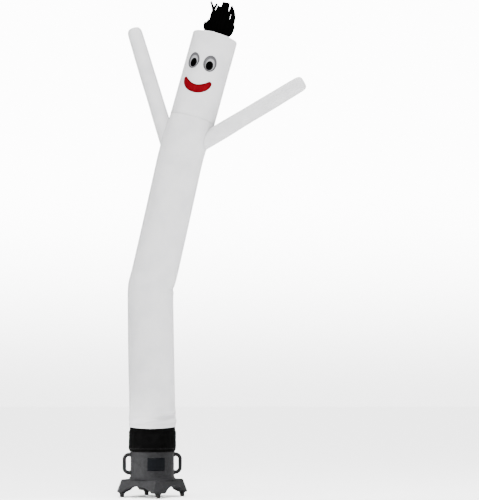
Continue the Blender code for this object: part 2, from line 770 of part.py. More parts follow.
def make_handle(name, index, barrel_core):
    curve = bpy.data.curves.new(name, "CURVE")
    curve.dimensions = "3D"
    curve.bevel_depth = HANDLE_BAR
    curve.bevel_resolution = 3
    curve.use_fill_caps = True
    route = handle_route()
    spline = curve.splines.new("POLY")
    spline.points.add(len(route) - 1)
    turn = corner_turn(index)
    for point, (reach, height, swell) in zip(spline.points, route):
        point.co = (reach * math.cos(turn), reach * math.sin(turn), height, 1)
        point.radius = swell
    guide = add_object(name + " line", curve, guides, anchor)
    bpy.context.view_layer.update()
    drawn = guide.evaluated_get(bpy.context.evaluated_depsgraph_get())
    bm = bmesh.new()
    bm.from_mesh(bpy.data.meshes.new_from_object(drawn))
    bmesh.ops.remove_doubles(bm, verts=bm.verts, dist=0.00001)
    handle = add_part(name, bmesh_to_mesh(name, bm), "moulded housing", 50.0)
    bpy.data.objects.remove(guide, do_unlink=True)
    combine(handle, barrel_core, "DIFFERENCE")
    return handle


def turned(name, profile, sides):
    """A closed turned piece from its profile of radius and height, top to bottom."""
    rings = [round_ring(height, radius, sides, 0.0) for radius, height in profile]
    return loft(name, list(reversed(rings)), "capped")


def make_feet():
    for index in range(4):
        turn = corner_turn(index)
        name = "foot_%d" % (index + 1)
        foot = add_part(name, turned(name, FOOT_PROFILE, FOOT_SIDES), "foot plastic")
        foot.location = (FOOT_REACH * math.cos(turn), FOOT_REACH * math.sin(turn), 0)


def make_plate():
    half = BARREL_RADIUS * math.sin(math.radians(PLATE_SPREAD))
    outline = ((-half, PLATE_BOTTOM), (half, PLATE_BOTTOM), (half, PLATE_TOP), (-half, PLATE_TOP))
    turn = math.degrees(corner_turn(3))
    patch_on_tube("label_plate", "bare plate", BARREL_RADIUS + GAP, PLATE_THICK,
                  PLATE_BOTTOM - PATCH_MARGIN, PLATE_TOP + PATCH_MARGIN, outline, turn)


def rivet_mesh():
    """A low round head whose flat back stands on the barrel's side."""
    rings = []
    for i in range(RIVET_STEPS + 1):
        turn = math.pi / 2 * i / RIVET_STEPS
        radius = RIVET_RADIUS * max(math.cos(turn), RIVET_TIP_SHARE)
        rings.append(round_ring(RIVET_RISE * math.sin(turn), radius, RIVET_SIDES, 0.0))
    return loft("rivet", rings, "capped")


def make_rivets():
    """Pairs of rivets at the middle of each side of the base."""
    number = 0
    for quarter in range(4):
        turn = corner_turn(quarter) + math.radians(45)
        flat = FIRST_SIDE + STEP * (round((turn - FIRST_SIDE) / STEP - 0.5) + 0.5)
        reach = BARREL_RADIUS * math.cos(STEP / 2) + GAP
        for height in RIVET_HEIGHTS:
            number += 1
            rivet = add_part("rivet_%d" % number, rivet_mesh(), "dark rivet")
            rivet.location = (reach * math.cos(flat), reach * math.sin(flat), height)
            rivet.rotation_euler = (0, math.pi / 2, flat)


clear_scene()
parts = make_collection("Inflatable air dancer")
guides = make_collection("Cutters")
anchor = bpy.data.objects.new("dancer place", None)
anchor.location = (BLOWER_X, BLOWER_Y, 0)
parts.objects.link(anchor)

make_tube("body", BODY_STATIONS)
shoulders = make_tube("shoulders", SHOULDER_STATIONS)
make_head()
trunk_core = make_trunk_core()
make_arm("arm_left", LEFT_ARM_START, LEFT_ARM_TIP, shoulders, trunk_core)
make_arm("arm_right", RIGHT_ARM_START, RIGHT_ARM_TIP, shoulders, trunk_core)
make_face()
make_hair()
make_cuff()
make_housing()
make_grip_band()
barrel_core = make_barrel_core()
make_handle("handle_right", 0, barrel_core)
make_handle("handle_left", 2, barrel_core)
make_feet()
make_plate()
make_rivets()
bpy.context.view_layer.update()
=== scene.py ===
"""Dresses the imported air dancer: sewn white ripstop, black cuff and hair strips, moulded blower.

Metres, +Z up, the viewer at -Y. Every piece is made about the blower's axis and then set
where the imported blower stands.
"""

import math

import bmesh
import bpy
from mathutils import Matrix, Vector, noise


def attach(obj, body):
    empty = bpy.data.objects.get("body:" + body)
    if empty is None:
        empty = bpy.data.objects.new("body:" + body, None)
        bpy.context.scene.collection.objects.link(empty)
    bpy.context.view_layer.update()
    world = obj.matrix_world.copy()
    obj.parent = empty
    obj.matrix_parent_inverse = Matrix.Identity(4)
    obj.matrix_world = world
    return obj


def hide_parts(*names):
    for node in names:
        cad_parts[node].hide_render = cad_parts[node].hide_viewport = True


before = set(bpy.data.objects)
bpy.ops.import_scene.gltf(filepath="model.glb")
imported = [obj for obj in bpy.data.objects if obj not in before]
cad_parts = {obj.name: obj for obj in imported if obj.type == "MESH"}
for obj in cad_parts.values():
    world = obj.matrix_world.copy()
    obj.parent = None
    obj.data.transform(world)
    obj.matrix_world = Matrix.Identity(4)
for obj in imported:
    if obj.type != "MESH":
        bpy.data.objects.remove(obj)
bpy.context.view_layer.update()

BLOWER_PLACE = Matrix.Translation((-0.3895, 0.0082, 0.0))
BLOWER_TURN = math.radians(13.6)
UP = Vector((0, 0, 1))
BEHIND = Vector((0, 1, 0))

# Cloth tube, as in the solids: radius, neck, lean of the head
TUBE_RADIUS = 0.1515
TUBE_ROUND = 2 * math.pi * TUBE_RADIUS
CLOTH = 0.0012
HEM_FRONT = 0.4455
HEM_SIDE_RISE = 0.0095
NECK_X = 0.2606
NECK_Z = 2.500
HEAD_LEAN = math.radians(15.2)
TUBE_COLUMNS = 144

# The hem is fuller than the tube: height of the middle, reach up and down, how far it stands out
HEM_BULGE = (0.505, 0.034, 0.0035)

# Centre line of the body tube: height, sideways place, lean of the section in degrees
SPINE = (
    (0.437, 0.0, 0.0),
    (0.52, -0.0005, -0.4),
    (0.80, -0.007, -1.0),
    (1.27, -0.0160, -0.5),
    (1.378, -0.0133, 6.2),
    (1.46, 0.0075, 12.0),
    (1.70, 0.0610, 12.4),
    (2.10, 0.1495, 12.6),
    (2.22, 0.1760, 13.6),
    (2.30, 0.1970, 15.6),
    (2.40, 0.2297, 17.0),
    (NECK_Z, NECK_X, 15.2),
)

# Folds of the body: turn and height of the middle in degrees and metres, reach round and
# up, depth outward, rise in metres for each radian round
MAIN_FOLDS = (
    (-18.0, 0.494, 40.0, 0.014, 0.0055, 0.000),
    (-50.0, 0.538, 36.0, 0.011, 0.0045, 0.014),
    (-56.0, 0.512, 44.0, 0.011, -0.0070, 0.010),
    (-112.0, 0.492, 46.0, 0.011, 0.0040, 0.018),
    (-122.0, 0.515, 40.0, 0.012, -0.0035, 0.016),
    (95.0, 0.530, 48.0, 0.012, 0.0045, -0.014),
    (108.0, 0.505, 50.0, 0.011, -0.0060, -0.010),
    (60.0, 0.480, 40.0, 0.012, 0.0035, 0.006),
    (0.0, 1.374, 48.0, 0.015, -0.0030, 0.000),
    (4.0, 1.402, 44.0, 0.014, 0.0010, 0.000),
    (-6.0, 1.346, 44.0, 0.014, 0.0030, 0.000),
    (-140.0, 1.800, 16.0, 0.150, -0.0035, 0.060),
    (-130.0, 2.290, 20.0, 0.060, -0.0050, 0.050),
    (-62.0, 2.270, 18.0, 0.060, -0.0045, -0.060),
    (-85.0, 2.452, 36.0, 0.016, -0.0050, 0.016),
    (100.0, 2.330, 24.0, 0.070, -0.0050, 0.040),
    (-70.0, 0.900, 28.0, 0.220, -0.0020, 0.000),
    (70.0, 1.150, 30.0, 0.260, -0.0025, 0.000),
)

# Sharper creases that only the cloth has, in the same columns
CREASES = (
    (-46.0, 0.538, 30.0, 0.0070, 0.0080, 0.020),
    (-40.0, 0.519, 30.0, 0.0075, -0.0080, 0.014),
    (-100.0, 0.488, 36.0, 0.0075, 0.0075, 0.022),
    (-78.0, 0.528, 18.0, 0.0060, -0.0030, 0.026),
    (-60.0, 0.500, 20.0, 0.0060, -0.0034, 0.024),
    (-66.0, 0.487, 18.0, 0.0060, 0.0030, -0.012),
    (-150.0, 0.474, 22.0, 0.0060, 0.0020, 0.012),
    (120.0, 0.489, 30.0, 0.0050, 0.0026, -0.016),
    (70.0, 0.520, 26.0, 0.0050, -0.0026, -0.014),
    (30.0, 0.505, 20.0, 0.0060, 0.0024, 0.008),
    (8.0, 1.388, 30.0, 0.0050, -0.0022, 0.010),
    (-14.0, 1.362, 26.0, 0.0050, -0.0020, -0.012),
    (24.0, 1.376, 20.0, 0.0060, -0.0018, 0.006),
    (-152.0, 2.372, 14.0, 0.0160, -0.0026, 0.120),
    (-118.0, 2.400, 14.0, 0.0140, 0.0022, 0.140),
    (-78.0, 2.300, 12.0, 0.0340, 0.0022, 0.100),
    (-48.0, 2.235, 14.0, 0.0180, -0.0024, -0.160),
    (-30.0, 2.200, 14.0, 0.0160, 0.0020, -0.180),
    (-96.0, 2.470, 26.0, 0.0060, 0.0020, 0.020),
    (-40.0, 1.655, 10.0, 0.0200, -0.0018, 0.050),
    (150.0, 2.360, 16.0, 0.0200, -0.0028, -0.100),
    (60.0, 2.300, 18.0, 0.0260, -0.0024, -0.120),
)

# Rows of the body cloth: start, end, how many
BODY_ROWS = (
    (0.000, 0.120, 34),
    (0.132, 0.850, 42),
    (0.858, 0.990, 26),
    (1.002, 1.640, 38),
    (1.650, 2.0545, 40),
)

# Head: height from the neck and radius, up the tube and over the top panel
HEAD_HEIGHT = 0.569
SEAT_HEIGHT = HEAD_HEIGHT + 0.0140
VENT_RADIUS = 0.048
HEAD_PROFILE = (
    (-0.0050, 0.1522),
    (0.0030, 0.1521),
    (0.0140, 0.1515),
    (0.5450, 0.1515),
    (0.5580, 0.1513),
    (0.5640, 0.1505),
    (0.5675, 0.1488),
    (0.5698, 0.1460),
    (0.5715, 0.1410),
    (0.5750, 0.1280),
    (0.5790, 0.1120),
    (0.5815, 0.0960),
    (SEAT_HEIGHT, 0.0800),
    (SEAT_HEIGHT, VENT_RADIUS),
)

# Face
FACE_TURN = math.radians(-102.0)
EYE_HEIGHT = 0.360
EYE_HALF = (0.0444, 0.0545)
PUPIL_DROP = 0.0145
PUPIL_HALF = (0.0238, 0.0305)
# Each eye: turn of its grey oval, of the pale one on it and of the pupil, in degrees
EYES = (
    ("left", -126.2, -124.2, -123.6),
    ("right", -81.0, -80.2, -81.2),
)
INNER_DROP = 0.0065
INNER_HALF = (0.0298, 0.0415)
MOUTH_HALF = TUBE_RADIUS * math.sin(math.radians(38.3))
MOUTH_CORNER = 0.2310
MOUTH_TOP = 0.2030
MOUTH_BOTTOM = 0.1512
MOUTH_TIP = 0.0110
MOUTH_TIP_END = 45
PATCH_THICKNESS = 0.0010
BORDER_RISE = 0.0012

# Sleeves: a point inside the body and the tip, the seed of the slack, and the radius along that line
ARMS = (
    ("left", (Vector((0.138, 0.031, 2.208)), Vector((-0.144, 0.106, 3.130))), 2.0),
    ("right", (Vector((0.268, -0.019, 2.300)), Vector((0.995, -0.207, 2.712))), 11.0),
)
SLEEVE_ROUND = 2 * math.pi * 0.053
SLEEVE_HOLE = 0.045
ARM_COLUMNS = 72
ARM_ROWS = 96
ARM_PROFILE = (
    (0.00, 0.0550),
    (0.30, 0.0550),
    (0.44, 0.0535),
    (0.62, 0.0530),
    (0.80, 0.0520),
    (0.945, 0.0505),
    (0.960, 0.0496),
    (0.972, 0.0478),
    (0.982, 0.0448),
    (0.990, 0.0404),
    (0.996, 0.0330),
    (0.999, 0.0230),
    (1.000, 0.0060),
)

# Black cuff: its length, thickness and slack off the solid, and then height and radius from the hem
# that grips the barrel up to the white hem
CUFF_THICKNESS = 0.0015
CUFF_SLACK = 0.0035
CUFF_PROFILE = (
    (0.2935, 0.1449),
    (0.2975, 0.1474),
    (0.3020, 0.1501),
    (0.3100, 0.1520),
    (0.3400, 0.1526),
    (0.3950, 0.1520),
    (0.4230, 0.1522),
    (0.4320, 0.1514),
    (0.4360, 0.1498),
    (0.4690, 0.1498),
)

# Rounded lower edge of the skirt: lift and inset, from the middle of the wall outward
SKIRT_LIP = ((0.0, 0.0016), (0.0006, 0.0005), (0.0016, 0.0))

# Blower
BARREL = 0.1427
WALL = 0.0060
BASE_TOP = 0.115
BASE_EDGE = 0.006
SKIRT_BOTTOM = 0.034
BASE_HALF = (0.187, 0.155)
CORNER_HALF = (0.035, 0.017)
CORNER_FILLET = 0.011
FLARE_RADIUS = 0.163
FLARE_TOP = 0.147
LOWER_BEAD = 0.3055
UPPER_BEAD = 0.3465
BAND_RADIUS = 0.1412
RIM_TOP = 0.372
ARCH_HALF = 0.1165
ARCH_PEAK = 0.073
NOTCH_HALF = math.radians(3.7)
NOTCH_DEPTH = 0.009
ARCH_RADIUS = (ARCH_HALF ** 2 + (ARCH_PEAK - SKIRT_BOTTOM) ** 2) / (2 * (ARCH_PEAK - SKIRT_BOTTOM))
LEG_BOTTOM = 0.031
LEG_TOP = 0.086
LEG_SINK = 0.0030
LEG_HOLE = 0.140
FOOT_REACH = 0.200
HANDLE_REACH = 0.186
HANDLE_BAR = 0.0122
HANDLE_TOP = 0.2754
HANDLE_BOTTOM = 0.158
HANDLE_CORNER = 0.031
HANDLE_COLUMNS = 28
PLATE_LOW = 0.173
PLATE_HIGH = 0.257
PLATE_HALF = BARREL * math.sin(math.radians(23.5))
PLATE_CORNER = 0.0045
PLATE_THICKNESS = 0.0009
RIVET_HEIGHTS = (0.2029, 0.2229)
RIVET_RADIUS = 0.0032

# Foot: radius and height, from the middle of its top round to the middle of its sole
FOOT_OUTLINE = (
    (0.0000, 0.0307), (0.0222, 0.0307), (0.0228, 0.0300), (0.0228, 0.0284), (0.0218, 0.0270),
    (0.0192, 0.0244), (0.0168, 0.0224), (0.0160, 0.0212), (0.0159, 0.0200), (0.0148, 0.0196),
    (0.0147, 0.0188), (0.0150, 0.0184), (0.0147, 0.0140), (0.0139, 0.0040), (0.0134, 0.0014),
    (0.0124, 0.0004), (0.0108, 0.0000), (0.0000, 0.0000),
)

# Hair strips: turn and reach of the root in degrees and metres, then the tip across, behind and
# above the seat, the width at root and tip, how far the middle bows to the right, and the rise of
# the slanted cut over half the tip
STRIPS = (
    (196.0, 0.066, -0.083, -0.034, 0.066, 0.040, 0.026, 0.000, 0.024),
    (208.0, 0.066, -0.064, -0.044, 0.084, 0.034, 0.014, 0.000, 0.004),
    (222.0, 0.060, -0.088, -0.060, 0.200, 0.020, 0.013, 0.052, 0.001),
    (234.0, 0.060, -0.043, -0.064, 0.196, 0.020, 0.014, -0.030, 0.001),
    (248.0, 0.066, -0.020, -0.078, 0.181, 0.036, 0.030, -0.002, -0.003),
    (284.0, 0.066, 0.016, -0.084, 0.216, 0.038, 0.046, 0.000, 0.001),
    (308.0, 0.066, 0.056, -0.074, 0.186, 0.030, 0.012, 0.002, -0.006),
    (322.0, 0.066, 0.052, -0.060, 0.206, 0.034, 0.016, 0.062, 0.002),
    (344.0, 0.072, 0.094, -0.034, 0.088, 0.038, 0.022, 0.010, 0.006),
    (2.0, 0.066, 0.092, 0.000, 0.066, 0.026, 0.014, 0.000, 0.004),
    (28.0, 0.066, 0.080, 0.038, 0.100, 0.026, 0.012, 0.004, -0.004),
    (54.0, 0.066, 0.044, 0.070, 0.150, 0.026, 0.018, 0.004, 0.006),
    (80.0, 0.066, 0.018, 0.082, 0.192, 0.028, 0.022, 0.000, -0.006),
    (106.0, 0.066, -0.012, 0.080, 0.164, 0.028, 0.020, 0.000, 0.006),
    (132.0, 0.066, -0.030, 0.068, 0.118, 0.026, 0.012, 0.000, -0.004),
    (158.0, 0.066, -0.060, 0.036, 0.070, 0.026, 0.012, 0.000, 0.006),
    (218.0, 0.055, -0.027, -0.034, 0.140, 0.024, 0.018, 0.000, 0.006),
    (262.0, 0.055, -0.002, -0.045, 0.165, 0.026, 0.026, 0.000, -0.006),
    (300.0, 0.055, 0.024, -0.038, 0.200, 0.026, 0.022, 0.000, 0.006),
    (345.0, 0.055, 0.046, -0.010, 0.140, 0.026, 0.014, 0.004, -0.006),
    (40.0, 0.055, 0.032, 0.030, 0.180, 0.026, 0.016, 0.000, 0.006),
    (95.0, 0.055, 0.000, 0.040, 0.175, 0.028, 0.024, 0.000, -0.006),
)

# Each strip is cut into three ribbons: place across it in half widths, share of its width and of
# its length, flutter, and how far off the middle one it hangs
RIBBONS = (
    (0.00, 1.00, 1.00, 0.0, 0.000),
    (-0.45, 0.52, 0.93, 1.0, 0.006),
    (0.42, 0.48, 0.87, 1.0, -0.006),
)
HAIR_THICKNESS = 0.0008
HAIR_RING = (0.050, 0.056, 0.063, 0.070, 0.076)
RIBBON_STEPS = 16
RIBBON_TWIST = math.radians(38)

# Stitches are 3 mm long in life and are drawn 6 mm long so that they show. Their rows run at these
# distances: up from the hem, from the neck, down from the head's top, from the middle of the back
# seam and out from a sleeve's root. On the cuff they run at these heights
STITCH_PITCH = 0.006
THREAD_RADIUS = 0.0006
STITCH_LIFT = 0.0002
HEM_ROWS = (0.019, 0.026)
NECK_ROW = 0.008
TOP_ROW = 0.012
BACK_ROW = 0.005
SLEEVE_ROW = 0.007
CUFF_ROWS = (0.3135, 0.3185)
PATH_STEPS = 240
# Rings of one stitch: share of the pitch along it, then size and lift in radii of the thread
STITCH_RINGS = ((-0.42, 0.55, -0.5), (-0.26, 1.0, 0.35), (0.26, 1.0, 0.35), (0.42, 0.55, -0.5))


# Materials


# A wave of scale 1 repeats every so many metres
WAVE_SPAN = 0.314


def linear(code):
    """The linear colour of one sRGB hex value."""
    channels = [int(code[i:i + 2], 16) / 255 for i in (1, 3, 5)]
    return [c / 12.92 if c <= 0.04045 else ((c + 0.055) / 1.055) ** 2.4 for c in channels] + [1.0]


def put(tree, kind, inputs=None, **settings):
    """Adds one node with its settings, its input values and the sockets that feed it."""
    node = tree.nodes.new(kind)
    for name, value in settings.items():
        setattr(node, name, value)
    for key, value in (inputs or {}).items():
        if isinstance(value, bpy.types.NodeSocket):
            tree.links.new(value, node.inputs[key])
        else:
            node.inputs[key].default_value = value
    return node


def blank_material(name):
    """A new material and its empty node tree."""
    material = bpy.data.materials.new(name)
    material.use_nodes = True
    material.node_tree.nodes.clear()
    return material, material.node_tree


def woven_threads(tree, flat, pitch):
    """Height of crossing threads so far apart, on the cloth's own flat measure."""
    warp = put(tree, "ShaderNodeTexWave", {"Vector": flat, "Scale": WAVE_SPAN / pitch}, bands_direction="X")
    weft = put(tree, "ShaderNodeTexWave", {"Vector": flat, "Scale": WAVE_SPAN / pitch}, bands_direction="Y")
    inputs = {0: warp.outputs["Fac"], 1: weft.outputs["Fac"]}
    return put(tree, "ShaderNodeMath", inputs, operation="MULTIPLY").outputs[0]


def ripstop(name, ground, thread, soil, roughness, slack, sheen, specular):
    """Ripstop nylon, woven and calendered on one side. It gives thin flat cloth with a raised grid of
    doubled threads 5 mm apart, a satin sheen, and soft slack where the air doesn't pull it tight."""
    material, tree = blank_material(name)
    flat = put(tree, "ShaderNodeAttribute", attribute_name="cloth").outputs["Vector"]
    place = put(tree, "ShaderNodeTexCoord").outputs["Object"]
    # The doubled thread is 0.4 mm wide in the cloth and is drawn at 0.7 mm so that it shows
    grid = put(
        tree, "ShaderNodeTexBrick",
        {"Vector": flat, "Scale": 1.0, "Mortar Size": 0.00035, "Mortar Smooth": 0.4,
         "Brick Width": 0.005, "Row Height": 0.005},
        offset=0.0, squash=1.0)
    # Handling marks, a hand's width across
    marks = put(tree, "ShaderNodeTexNoise", {"Vector": place, "Scale": 9.0, "Detail": 3.0, "Roughness": 0.55})
    worn = put(
        tree, "ShaderNodeMapRange",
        {"Value": marks.outputs["Fac"], "From Min": 0.42, "From Max": 0.75})
    clean = put(
        tree, "ShaderNodeMix",
        {0: grid.outputs["Fac"], 6: linear(ground), 7: linear(thread)}, data_type="RGBA")
    soiled = put(
        tree, "ShaderNodeMix",
        {0: worn.outputs[0], 6: clean.outputs[2], 7: linear(soil)}, data_type="RGBA")
    rubbed = put(
        tree, "ShaderNodeMapRange",
        {"Value": marks.outputs["Fac"], "To Min": roughness - 0.06, "To Max": roughness + 0.08})
    soft = put(tree, "ShaderNodeTexNoise", {"Vector": place, "Scale": 14.0, "Detail": 2.0, "Roughness": 0.4})
    weave = woven_threads(tree, flat, 0.0011)
    slackened = put(tree, "ShaderNodeBump", {"Height": soft.outputs["Fac"], "Distance": slack})
    gridded = put(
        tree, "ShaderNodeBump",
        {"Height": grid.outputs["Fac"], "Distance": 0.00020, "Normal": slackened.outputs["Normal"]})
    woven = put(
        tree, "ShaderNodeBump",
        {"Height": weave, "Distance": 0.00006, "Normal": gridded.outputs["Normal"]})
    shader = put(
        tree, "ShaderNodeBsdfPrincipled",
        {"Base Color": soiled.outputs[2], "Roughness": rubbed.outputs[0], "Normal": woven.outputs["Normal"],
         "Sheen Weight": sheen, "Sheen Roughness": 0.45, "Specular IOR Level": specular})
    put(tree, "ShaderNodeOutputMaterial", {"Surface": shader.outputs["BSDF"]})
    return material


def applique_cloth(name, ground, shade, specular):
    """Plain woven polyester, sewn on flat. Matt and even, with the weave just to be felt."""
    material, tree = blank_material(name)
    flat = put(tree, "ShaderNodeAttribute", attribute_name="cloth").outputs["Vector"]
    place = put(tree, "ShaderNodeTexCoord").outputs["Object"]
    tone = put(tree, "ShaderNodeTexNoise", {"Vector": place, "Scale": 35.0, "Detail": 3.0})
    spread = put(tree, "ShaderNodeMapRange", {"Value": tone.outputs["Fac"], "From Min": 0.3, "From Max": 0.7})
    colour = put(
        tree, "ShaderNodeMix",
        {0: spread.outputs[0], 6: linear(ground), 7: linear(shade)}, data_type="RGBA")
    weave = woven_threads(tree, flat, 0.0014)
    puffed = put(tree, "ShaderNodeBump", {"Height": tone.outputs["Fac"], "Distance": 0.0006})
    woven = put(
        tree, "ShaderNodeBump",
        {"Height": weave, "Distance": 0.00012, "Normal": puffed.outputs["Normal"]})
    shader = put(
        tree, "ShaderNodeBsdfPrincipled",
        {"Base Color": colour.outputs[2], "Roughness": 0.7, "Normal": woven.outputs["Normal"],
         "Specular IOR Level": specular})
    put(tree, "ShaderNodeOutputMaterial", {"Surface": shader.outputs["BSDF"]})
    return material


def embroidery_thread(name, light, dark, specular):
    """Rayon thread laid side by side over an edge. Each pass is a glossy ridge across the border, painted
    lighter on its top and darker in the grooves between passes, a painted highlight and painted shade. The
    passes are 0.4 mm apart in life and are drawn 1.2 mm apart so that they show."""
    material, tree = blank_material(name)
    flat = put(tree, "ShaderNodeAttribute", attribute_name="cloth").outputs["Vector"]
    passes = put(
        tree, "ShaderNodeTexWave",
        {"Vector": flat, "Scale": WAVE_SPAN / 0.0012}, bands_direction="Y")
    # painted highlight and shade: each pass is lighter on its top and darker in the groove beside it
    colour = put(
        tree, "ShaderNodeMix",
        {0: passes.outputs["Fac"], 6: linear(dark), 7: linear(light)}, data_type="RGBA")
    ridged = put(tree, "ShaderNodeBump", {"Height": passes.outputs["Fac"], "Distance": 0.0003})
    shader = put(
        tree, "ShaderNodeBsdfPrincipled",
        {"Base Color": colour.outputs[2], "Roughness": 0.42, "Normal": ridged.outputs["Normal"],
         "Specular IOR Level": specular})
    put(tree, "ShaderNodeOutputMaterial", {"Surface": shader.outputs["BSDF"]})
    return material


def sewing_thread(name, light, dark):
    """Twisted polyester thread of the lock stitched seams, with its diagonal ply, painted lighter on each
    ply and darker between them as painted highlight and painted shade.
    """
    material, tree = blank_material(name)
    place = put(tree, "ShaderNodeTexCoord").outputs["Object"]
    ply = put(
        tree, "ShaderNodeTexWave",
        {"Vector": place, "Scale": WAVE_SPAN / 0.0016}, bands_direction="DIAGONAL")
    # painted highlight and shade: each ply is lighter on its ridge and darker in its groove
    colour = put(
        tree, "ShaderNodeMix",
        {0: ply.outputs["Fac"], 6: linear(dark), 7: linear(light)}, data_type="RGBA")
    twisted = put(tree, "ShaderNodeBump", {"Height": ply.outputs["Fac"], "Distance": 0.00015})
    shader = put(
        tree, "ShaderNodeBsdfPrincipled",
        {"Base Color": colour.outputs[2], "Roughness": 0.5, "Normal": twisted.outputs["Normal"],
         "Specular IOR Level": 0.11})
    put(tree, "ShaderNodeOutputMaterial", {"Surface": shader.outputs["BSDF"]})
    return material


def cuff_oxford(name, ground, slack_top_colour):
    """Black oxford nylon, a coarse basket weave. It drinks the light, and is a little lighter where the
    slack between its gathers stands out."""
    material, tree = blank_material(name)
    flat = put(tree, "ShaderNodeAttribute", attribute_name="cloth").outputs["Vector"]
    place = put(tree, "ShaderNodeTexCoord").outputs["Object"]
    slack = put(tree, "ShaderNodeTexNoise", {"Vector": place, "Scale": 22.0, "Detail": 3.0, "Roughness": 0.5})
    # lighter where the slack stands out: the colour follows the same noise that raises it
    dusty = put(
        tree, "ShaderNodeMapRange",
        {"Value": slack.outputs["Fac"], "From Min": 0.40, "From Max": 0.80})
    colour = put(
        tree, "ShaderNodeMix",
        {0: dusty.outputs[0], 6: linear(ground), 7: linear(slack_top_colour)}, data_type="RGBA")
    weave = woven_threads(tree, flat, 0.0020)
    hanging = put(tree, "ShaderNodeBump", {"Height": slack.outputs["Fac"], "Distance": 0.0016})
    woven = put(
        tree, "ShaderNodeBump",
        {"Height": weave, "Distance": 0.00025, "Normal": hanging.outputs["Normal"]})
    shader = put(
        tree, "ShaderNodeBsdfPrincipled",
        {"Base Color": colour.outputs[2], "Roughness": 0.85, "Normal": woven.outputs["Normal"],
         "Specular IOR Level": 0.01})
    put(tree, "ShaderNodeOutputMaterial", {"Surface": shader.outputs["BSDF"]})
    return material


def moulded_polyethylene(name, high, low, roughness, grain):
    """Polyethylene moulded in a blasted tool. It comes out with a pebbled skin, mottled in patches a finger
    wide where the wall cooled unevenly. Its colour is painted lighter on the tops of the pebbles, a painted
    highlight, and lighter along its convex edges, a painted edge highlight."""
    material, tree = blank_material(name)
    place = put(tree, "ShaderNodeTexCoord").outputs["Object"]
    pebble = put(tree, "ShaderNodeTexVoronoi", {"Vector": place, "Scale": 1.0 / grain}, feature="SMOOTH_F1")
    fine = put(
        tree, "ShaderNodeTexNoise",
        {"Vector": place, "Scale": 0.6 / grain, "Detail": 5.0, "Roughness": 0.7})
    mottle = put(
        tree, "ShaderNodeTexNoise",
        {"Vector": place, "Scale": 55.0, "Detail": 3.0, "Roughness": 0.6})
    # painted highlight: the colour is lighter on the raised tops of the pebble grain, toward the first colour
    grain_tops_painted_highlight = put(
        tree, "ShaderNodeMath",
        {0: fine.outputs["Fac"], 1: pebble.outputs["Distance"]}, operation="SUBTRACT")
    bright = put(tree, "ShaderNodeMapRange", {"Value": grain_tops_painted_highlight.outputs[0], "From Min": -0.25, "From Max": 0.45})
    skin_colour_with_painted_highlight = put(
        tree, "ShaderNodeMix",
        {0: bright.outputs[0], 6: linear(low), 7: linear(high)}, data_type="RGBA")
    patches = put(
        tree, "ShaderNodeMapRange",
        {"Value": mottle.outputs["Fac"], "From Min": 0.35, "From Max": 0.7})
    mottled = put(
        tree, "ShaderNodeMix",
        {0: patches.outputs[0], 6: skin_colour_with_painted_highlight.outputs[2], 7: linear(low)}, data_type="RGBA")
    # painted edge highlight: convex edges, found by their pointiness, are painted lighter toward the first
    # colour
    edges = put(tree, "ShaderNodeNewGeometry").outputs["Pointiness"]
    scuffed = put(
        tree, "ShaderNodeMapRange",
        {"Value": edges, "From Min": 0.53, "From Max": 0.62, "To Max": 0.6})
    colour = put(
        tree, "ShaderNodeMix",
        {0: scuffed.outputs[0], 6: mottled.outputs[2], 7: linear(high)}, data_type="RGBA")
    gloss = put(
        tree, "ShaderNodeMapRange",
        {"Value": fine.outputs["Fac"], "To Min": roughness + 0.10, "To Max": roughness - 0.10})
    pebbled = put(tree, "ShaderNodeBump", {"Height": pebble.outputs["Distance"], "Distance": -0.0007})
    blasted = put(
        tree, "ShaderNodeBump",
        {"Height": fine.outputs["Fac"], "Distance": 0.0004, "Normal": pebbled.outputs["Normal"]})
    shader = put(
        tree, "ShaderNodeBsdfPrincipled",
        {"Base Color": colour.outputs[2], "Roughness": gloss.outputs[0], "Normal": blasted.outputs["Normal"],
         "Specular IOR Level": 0.11})
    put(tree, "ShaderNodeOutputMaterial", {"Surface": shader.outputs["BSDF"]})
    return material


def foot_rubber(name):
    """Black rubber, moulded smooth and then scuffed by the ground, dusty low down."""
    material, tree = blank_material(name)
    place = put(tree, "ShaderNodeTexCoord").outputs["Object"]
    height = put(tree, "ShaderNodeSeparateXYZ", {"Vector": place}).outputs["Z"]
    scuff = put(
        tree, "ShaderNodeTexNoise",
        {"Vector": place, "Scale": 260.0, "Detail": 4.0, "Roughness": 0.65})
    low = put(tree, "ShaderNodeMapRange", {"Value": height, "From Min": 0.012, "From Max": 0.0})
    dust = put(tree, "ShaderNodeMath", {0: low.outputs[0], 1: scuff.outputs["Fac"]}, operation="MULTIPLY")
    colour = put(
        tree, "ShaderNodeMix",
        {0: dust.outputs[0], 6: linear("#0A0A0A"), 7: linear("#2C2B29")}, data_type="RGBA")
    scuffed = put(tree, "ShaderNodeBump", {"Height": scuff.outputs["Fac"], "Distance": 0.0004})
    shader = put(
        tree, "ShaderNodeBsdfPrincipled",
        {"Base Color": colour.outputs[2], "Roughness": 0.7, "Normal": scuffed.outputs["Normal"],
         "Specular IOR Level": 0.12})
    put(tree, "ShaderNodeOutputMaterial", {"Surface": shader.outputs["BSDF"]})
    return material


